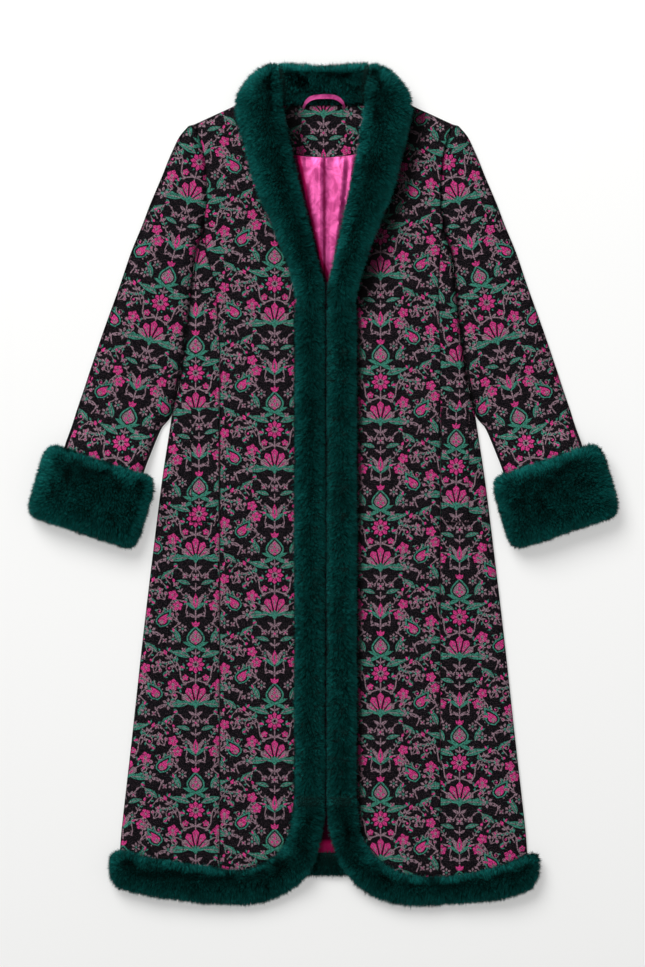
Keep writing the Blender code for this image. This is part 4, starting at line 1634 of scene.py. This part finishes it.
    def hair_mesh(self, blades: np.ndarray, shade: np.ndarray, normals: np.ndarray) -> bpy.types.Object:
        """Joins blades of three points into one mesh.

        Args:
            blades: For each hair two root points and its tip, in millimetres.
            shade: The lightness of each hair, from 0 to 1.
            normals: The direction each hair is shaded by, so that the pile looks soft.

        Returns:
            The hair.
        """
        count = len(blades)
        mesh = bpy.data.meshes.new(self.node + "_hair")
        mesh.vertices.add(count * 3)
        mesh.vertices.foreach_set("co", (blades * MM).astype(np.float32).ravel())
        mesh.loops.add(count * 3)
        mesh.loops.foreach_set("vertex_index", np.arange(count * 3, dtype=np.int32))
        mesh.polygons.add(count)
        mesh.polygons.foreach_set("loop_start", np.arange(0, count * 3, 3, dtype=np.int32))
        mesh.polygons.foreach_set("use_smooth", np.ones(count, bool))
        mesh.update(calc_edges=True)
        layer = mesh.uv_layers.new(name="hair")
        along = np.tile((0.0, 0.0, 1.0), (count, 1))
        across = np.repeat(shade[:, None], 3, axis=1)
        layer.uv.foreach_set("vector", np.stack((across, along), axis=2).astype(np.float32).ravel())
        mesh.normals_split_custom_set_from_vertices(np.repeat(unit(normals), 3, axis=0).tolist())
        item = bpy.data.objects.new(self.node + "_hair", mesh)
        bpy.context.scene.collection.objects.link(item)
        return item

    def dress(self, backing: bpy.types.Object, hair: bpy.types.Object,
              backing_cloth: bpy.types.Material, hair_cloth: bpy.types.Material) -> None:
        """Args:
            backing: The padded backing.
            hair: Its hair.
            backing_cloth: The finish of the backing.
            hair_cloth: The finish of the hair.
        """
        backing.data.materials.append(backing_cloth)
        hair.data.materials.append(hair_cloth)
        for item in (backing, hair):
            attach(item, "root")
        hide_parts(self.node)


@dataclass
class HangerLoop:
    """A narrow rouleau of satin, caught under the neck facing at both ends."""

    node: str = "hanger_loop"
    breadth: float = 7.0
    narrow: float = 3.6
    thickness: float = 1.6
    path: tuple[tuple[float, float, float], ...] = (
        (-29, 554.6, 5.8), (-28.5, 557.6, 11.0), (-25.5, 562.6, 14.6), (-19.5, 567.6, 16.8),
        (-12, 569.8, 18.0), (1, 570.8, 18.3), (14, 570.2, 18.0), (22, 567.4, 16.6), (28, 562.0, 14.4),
        (30, 557.6, 11.0), (30.4, 554.6, 5.8))

    def build(self) -> bpy.types.Object:
        """Sweeps a flat oval along the loop.

        Returns:
            The loop.
        """
        path = np.vstack((curve_through(np.array(self.path), 2.0), self.path[-1]))
        run = unit(np.gradient(path, axis=0))
        broad = unit(np.cross(run, (0.0, 0.0, 1.0)))
        thin = np.cross(broad, run)
        wide = np.array((1.0, 1.0, 0.86, 0.4, -0.4, -0.86, -1.0, -1.0, -0.86, -0.4, 0.4, 0.86))
        high = np.array((-0.4, 0.4, 1.0, 0.76, 0.76, 1.0, 0.4, -0.4, -1.0, -0.8, -0.8, -1.0))
        flat = np.clip((path[:, 2] - 12.5) / 4.5, 0.0, 1.0)[:, None, None]
        across = self.narrow + (self.breadth - self.narrow) * flat
        rings = (path[:, None] + broad[:, None] * (wide[None, :, None] * across / 2.0)
                 + thin[:, None] * (high * self.thickness / 2.0)[None, :, None])
        count = len(wide)
        faces = [list(range(count))[::-1], [(len(path) - 1) * count + k for k in range(count)]]
        for i in range(len(path) - 1):
            for k in range(count):
                j = (k + 1) % count
                faces.append([i * count + k, i * count + j, (i + 1) * count + j, (i + 1) * count + k])
        item = new_object("hanger_loop_satin", rings.reshape(-1, 3), faces)
        layer = item.data.uv_layers.new(name="cloth")
        corners = np.array([corner.vertex_index for corner in item.data.loops])
        cloth = np.column_stack((corners % count, corners // count)) * 2.0 * MM
        layer.uv.foreach_set("vector", cloth.ravel())
        store(item, "light", np.ones(len(item.data.vertices)))
        bpy.ops.object.mode_set(mode="EDIT")
        bpy.ops.mesh.select_all(action="SELECT")
        bpy.ops.mesh.normals_make_consistent(inside=False)
        bpy.ops.object.mode_set(mode="OBJECT")
        shade_round(item, 35.0)
        return item

    def dress(self, item: bpy.types.Object, material: bpy.types.Material) -> None:
        """Args:
            item: The loop.
            material: Its satin.
        """
        item.data.materials.append(material)
        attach(item, "root")
        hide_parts(self.node)


@dataclass
class Studio:
    """Pale paper, a soft key light from the upper left and the camera straight above."""

    millimetre_per_pixel: float = 1.475
    picture: tuple[int, int] = (645, 967)
    aim: tuple[float, float] = (-1.5, 1.4)
    lens: float = 200.0
    key_power: float = 900.0
    key_size: float = 6.4
    key_place: tuple[float, float, float] = (-3.3, 5.8, 6.9)
    horizon: float = 0.93
    ambient: float = 0.24
    overhead: float = 0.2
    paper_size: float = 26.0

    def build(self) -> None:
        """Makes the floor, the lights and the camera."""
        bpy.ops.object.select_all(action="DESELECT")
        bpy.ops.mesh.primitive_plane_add(size=self.paper_size)
        floor = bpy.context.object
        floor.name = "studio_floor"
        floor.data.materials.append(PaperFinish().material())
        floor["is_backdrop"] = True

        bpy.ops.object.light_add(type="AREA", location=self.key_place)
        key = bpy.context.object
        key.data.shape = "DISK"
        key.data.size = self.key_size
        key.data.energy = self.key_power
        key.rotation_euler = Vector(-np.array(self.key_place)).to_track_quat("-Z", "Y").to_euler()

        world = bpy.data.worlds.new("studio")
        bpy.context.scene.world = world
        world.use_nodes = True
        tree = world.node_tree
        tree.nodes.clear()
        way = add_node(tree, "TexCoord")
        height = add_node(tree, "SeparateXYZ", None, {0: way.outputs["Generated"]})
        level = add_node(tree, "MapRange",
                         {"From Min": 0.03, "From Max": 0.2, "To Min": self.horizon, "To Max": self.ambient},
                         {"Value": height.outputs["Z"]})
        ceiling = add_node(tree, "MapRange", {"From Min": 0.35, "From Max": 0.85, "To Max": self.overhead},
                           {"Value": height.outputs["Z"]})
        total = add_node(tree, "Math", {"operation": "ADD"}, {0: level.outputs[0], 1: ceiling.outputs[0]})
        sky = add_node(tree, "Background", {"Color": to_linear("#FFFFFF")}, {"Strength": total.outputs[0]})
        add_node(tree, "OutputWorld", None, {"Surface": sky.outputs[0]})

        view = bpy.data.cameras.new("camera")
        camera = bpy.data.objects.new("camera", view)
        bpy.context.scene.collection.objects.link(camera)
        view.lens = self.lens
        tall = self.picture[1] * self.millimetre_per_pixel * MM
        camera.location = (self.aim[0] * MM, self.aim[1] * MM, tall * self.lens / view.sensor_width)
        view.clip_end = 50.0
        bpy.context.scene.camera = camera
        bpy.context.scene.view_settings.view_transform = "Standard"


class Coat:
    """The whole coat, piece by piece."""

    def __init__(self) -> None:
        """Makes the finishes that the pieces share."""
        self.repeat = FloralRepeat()
        self.jacquard = JacquardFinish().material()
        self.satin = SatinFinish().material()
        self.hair = FurFinish().material()
        self.backing = BackingFinish().material()

    def panels(self) -> list[ClothPanel]:
        """Lists the panels of the coat with their cuts in metres.

        Returns:
            The panels.
        """
        left, right = ClothFrame(-72.0, 0.0), ClothFrame(84.0, 70.0)
        found: list[ClothPanel] = [
            ClothPanel("back", (0.62, 1.14), 0.56, ClothFrame(0.0, 30.0), (), Face.DOWN, pitch=24.0,
                       repeat=self.repeat, seam_depth=0.0, least=20.0),
            ClothPanel("back_neck_facing", (0.17, 0.08), 0.0125, ClothFrame(0.0, 309.0), ("lining_back",),
                       wall=1.2, repeat=self.repeat, seam_depth=0.3,
                       shaded_by=("collar_left", "collar_right"))]
        for side, weave, sign in (("left", left, -1), ("right", right, 1)):
            sleeve = ClothFrame(sign * 262.0, 190.0, sign * 15.5)
            beside = ClothFrame(weave.x + sign * 9.0, weave.y - 24.0)
            welt = ClothFrame(weave.x + sign * 4.0, weave.y - 17.0)
            found += [
                ClothPanel("front_center_" + side, (0.19, 1.16), 0.14, weave, ("lining_back",), low=3.5,
                           repeat=self.repeat, creases=FRONT_CREASES[sign], seam_depth=1.7,
                           shaded_by=("collar_" + side, "front_band_" + side, "hem_front_" + side)),
                ClothPanel("front_side_" + side, (0.15, 0.95), 0.09, beside, ("lining_back",), low=3.5,
                           repeat=self.repeat, creases=FRONT_CREASES[sign], seam_depth=1.7),
                ClothPanel("pocket_welt_" + side, (0.042, 0.17), 0.0070, welt, ("front_side_" + side,),
                           wall=1.8, repeat=self.repeat, seam_depth=0.7),
                ClothPanel("sleeve_upper_" + side, (0.16, 0.62), 0.065, sleeve, ("sleeve_under_" + side,),
                           low=3.4, repeat=self.repeat, creases=SLEEVE_CREASES[sign], seam_depth=3.4,
                           seam_breadth=4.6, roll=4.0, crisp=0.42, eased=ARMHOLE),
                ClothPanel("sleeve_under_" + side, (0.16, 0.62), 0.065, sleeve, (), Face.DOWN, pitch=20.0,
                           repeat=self.repeat, seam_depth=0.0, least=20.0, eased=ARMHOLE)]
        return found

    def furs(self) -> list[FurPiece]:
        """Lists the pieces of fur with their cuts in metres, what they run on into and their combing.

        Returns:
            The pieces.
        """
        still, up, down = (0.0, 0.0, 0.0), (0.0, 4.0, 0.0), (0.0, -4.0, 0.0)
        stand = {sign: (sign * 60.5, 610.0, sign * 58.5, 556.0) for sign in (-1, 1)}
        found = [
            FurPiece("collar_back", (0.122, 0.062), ("back",), widen=((-7.0, 0.0, 0.0), (7.0, 0.0, 0.0)),
                     mates=("collar_left", "collar_right"), comb=(0.0, 1.2, 0.0), seed=11, fan=2.5,
                     tone=0.45, partings=(stand[-1], stand[1])),
            # The back hem's low tone is painted shade, as it lies deep in the hem slit.
            FurPiece("hem_back", (0.6, 0.04), ("back",), widen=((0.0, 3.0, 0.0), (0.0, 6.0, 0.0)),
                     mates=("back", "lining_back"), seed=12, density=0.9, tone=-0.25)]
        for k, (side, other, sign) in enumerate((("left", "right", -1), ("right", "left", 1))):
            collar, band, hem = "collar_" + side, "front_band_" + side, "hem_front_" + side
            fronts = ("front_center_" + side, "front_side_" + side)
            middle = (-FAR, 3.4) if sign < 0 else (3.6, FAR)
            opening = ((3.5, 300.0, 3.5, -484.0), stand[sign])
            seam = (sign * 266.0, 4.0, sign * 277.0, -41.0)
            found += [
                FurPiece(collar, (0.13, 0.36), fronts[:1], ((band, up),),
                         mates=("collar_back", "collar_" + other), comb=(sign * 1.6, -3.0, 0.0),
                         seed=21 + k, area=0.02, middle=middle, partings=opening),
                FurPiece(band, (0.05, 0.74), ("lining_back",), ((collar, still), (hem, still)),
                         ((-sign * 0.9, 0.0, 0.0), up, down), ("front_band_" + other,),
                         comb=(0.0, -3.4, 0.0), seed=31 + k, middle=middle, partings=opening),
                FurPiece(hem, (0.32, 0.155), fronts, ((band, down),),
                         ((-sign * 2.5, 0.0, 0.0), (0.0, 3.0, 0.0)), fronts + ("hem_front_" + other,),
                         seed=41 + k, area=0.019, middle=middle, partings=opening, tone=0.08),
                FurPiece("cuff_upper_" + side, (0.175, 0.12), ("sleeve_upper_" + side,),
                         widen=((0.0, 0.0, -4.0),), comb=(sign * 0.6, -1.6, 0.0), seed=51 + k,
                         partings=(seam, (*seam[2:], sign * 290.0, -70.0)) if sign < 0 else ()),
                FurPiece("cuff_under_" + side, (0.175, 0.12), ("sleeve_under_" + side,),
                         widen=((0.0, 0.0, 3.0),), comb=(sign * 0.6, -2.0, 0.0), seed=61 + k,
                         highest_facing=0.5)]
        return found

    def build(self) -> None:
        """Builds and dresses every piece."""
        deep = ("collar_", "front_band_", "hem_front_")
        lining = Lining("lining_back", (0.52, 1.05), 0.40, ClothFrame(0.0, 0.0), ("back",), wall=0.9,
                        low=3.4, creases=LINING_CREASES, pitch=18.0, seam_depth=0.0,
                        lamp=Studio.key_place, lamp_size=Studio.key_size,
                        shaded_by=tuple(kind + side for kind in deep for side in ("left", "right")))
        lining.dress(lining.build(), self.satin)
        LOG.info("lining laid")
        loop = HangerLoop()
        loop.dress(loop.build(), self.satin)
        LOG.info("hanger loop sewn in")
        for panel in self.panels():
            item = panel.build()
            panel.dress(item, self.jacquard)
            LOG.info("%s: %d faces", item.name, len(item.data.polygons))
        for fur in self.furs():
            backing, hair = fur.build()
            fur.dress(backing, hair, self.backing, self.hair)
            LOG.info("%s: %d hairs", fur.node, len(hair.data.polygons))


# The folds as they lie, in millimetres on the coat, for its left side (-1) and its right side (1).
FRONT_CREASES = {
    -1: (Crease(-150, 330, -128, 120, 16, 1.2), Crease(-205, -90, -240, -420, 16, 1.2),
         Crease(-118, -60, -110, -330, 15, 1.0), Crease(-262, -230, -284, -500, 10, 1.2)),
    1: (Crease(150, 330, 130, 130, 15, 1.1), Crease(207, -100, 238, -400, 17, 1.2),
        Crease(124, -70, 116, -310, 15, 1.0), Crease(258, -210, 280, -480, 11, 1.3))}
SLEEVE_CREASES = {
    -1: (Crease(-200, 330, -262, 300, 8, 1.4), Crease(-205, 250, -280, 190, 9, 1.6),
         Crease(-225, 130, -300, 150, 8, 1.5), Crease(-240, 90, -330, 60, 8, 1.4)),
    1: (Crease(198, 320, 258, 285, 8, 1.5), Crease(206, 236, 284, 196, 10, 1.5),
        Crease(228, 126, 310, 160, 8, 1.4), Crease(246, 80, 334, 70, 8, 1.5))}
LINING_CREASES = (
    Crease(-5, 520, -2, 282, 22, -7.0, 0.3), Crease(-44, 508, -24, 330, 8, -1.8, 0.6),
    Crease(-29, 470, -17, 330, 3, 0.6), Crease(35, 512, 14, 300, 15, -6.0, 0.24),
    Crease(48, 505, 31, 370, 7, -4.2, 0.5), Crease(9, 480, 8, 330, 3, -0.7),
    Crease(22, 497, 19, 462, 2.4, -1.2), Crease(43, 497, 37, 466, 2.4, -1.2),
    Crease(-33, 497, -30, 460, 2.6, -1.2), Crease(-16, 496, -14, 470, 2.2, -0.8),
    Crease(12, 498, 11, 474, 2.0, 0.8))
# How far the inner edge of a sleeve is eased toward the body: the height on the coat, then the ease.
ARMHOLE = ((85, 0.0), (92, 3.4), (100, 5.6), (110, 3.8), (120, 2.9), (130, 2.2), (140, 1.6), (150, 1.9),
           (160, 1.1), (180, 0.55), (200, 0.75), (240, 1.0), (260, 0.8), (290, 0.5), (320, 0.55), (350, 0.6))
# The middle of a sleeve: the height on the coat, then the distance from the coat's middle.
SLEEVE_MIDDLE = ((80, 257), (350, 200), (435, 184), (535, 195))
# The line along which a sleeve lies folded against the body and the cloth is drawn in painted shade: the
# distance from the middle, then the height.
VALLEY = ((176, 390), (182, 362), (190, 330), (198, 260), (208, 180), (214, 150), (221, 120), (227, 96))


def main() -> None:
    """Builds the coat and the studio about it."""
    logging.basicConfig(level=logging.INFO, format="%(name)s: %(message)s")
    Studio().build()
    Coat().build()
    meshes = [item.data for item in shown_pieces() if item.type == "MESH"]
    made = sum(len(face.vertices) - 2 for mesh in meshes for face in mesh.polygons)
    LOG.info("%d triangles in all", made)


if __name__ == "__main__":
    main()
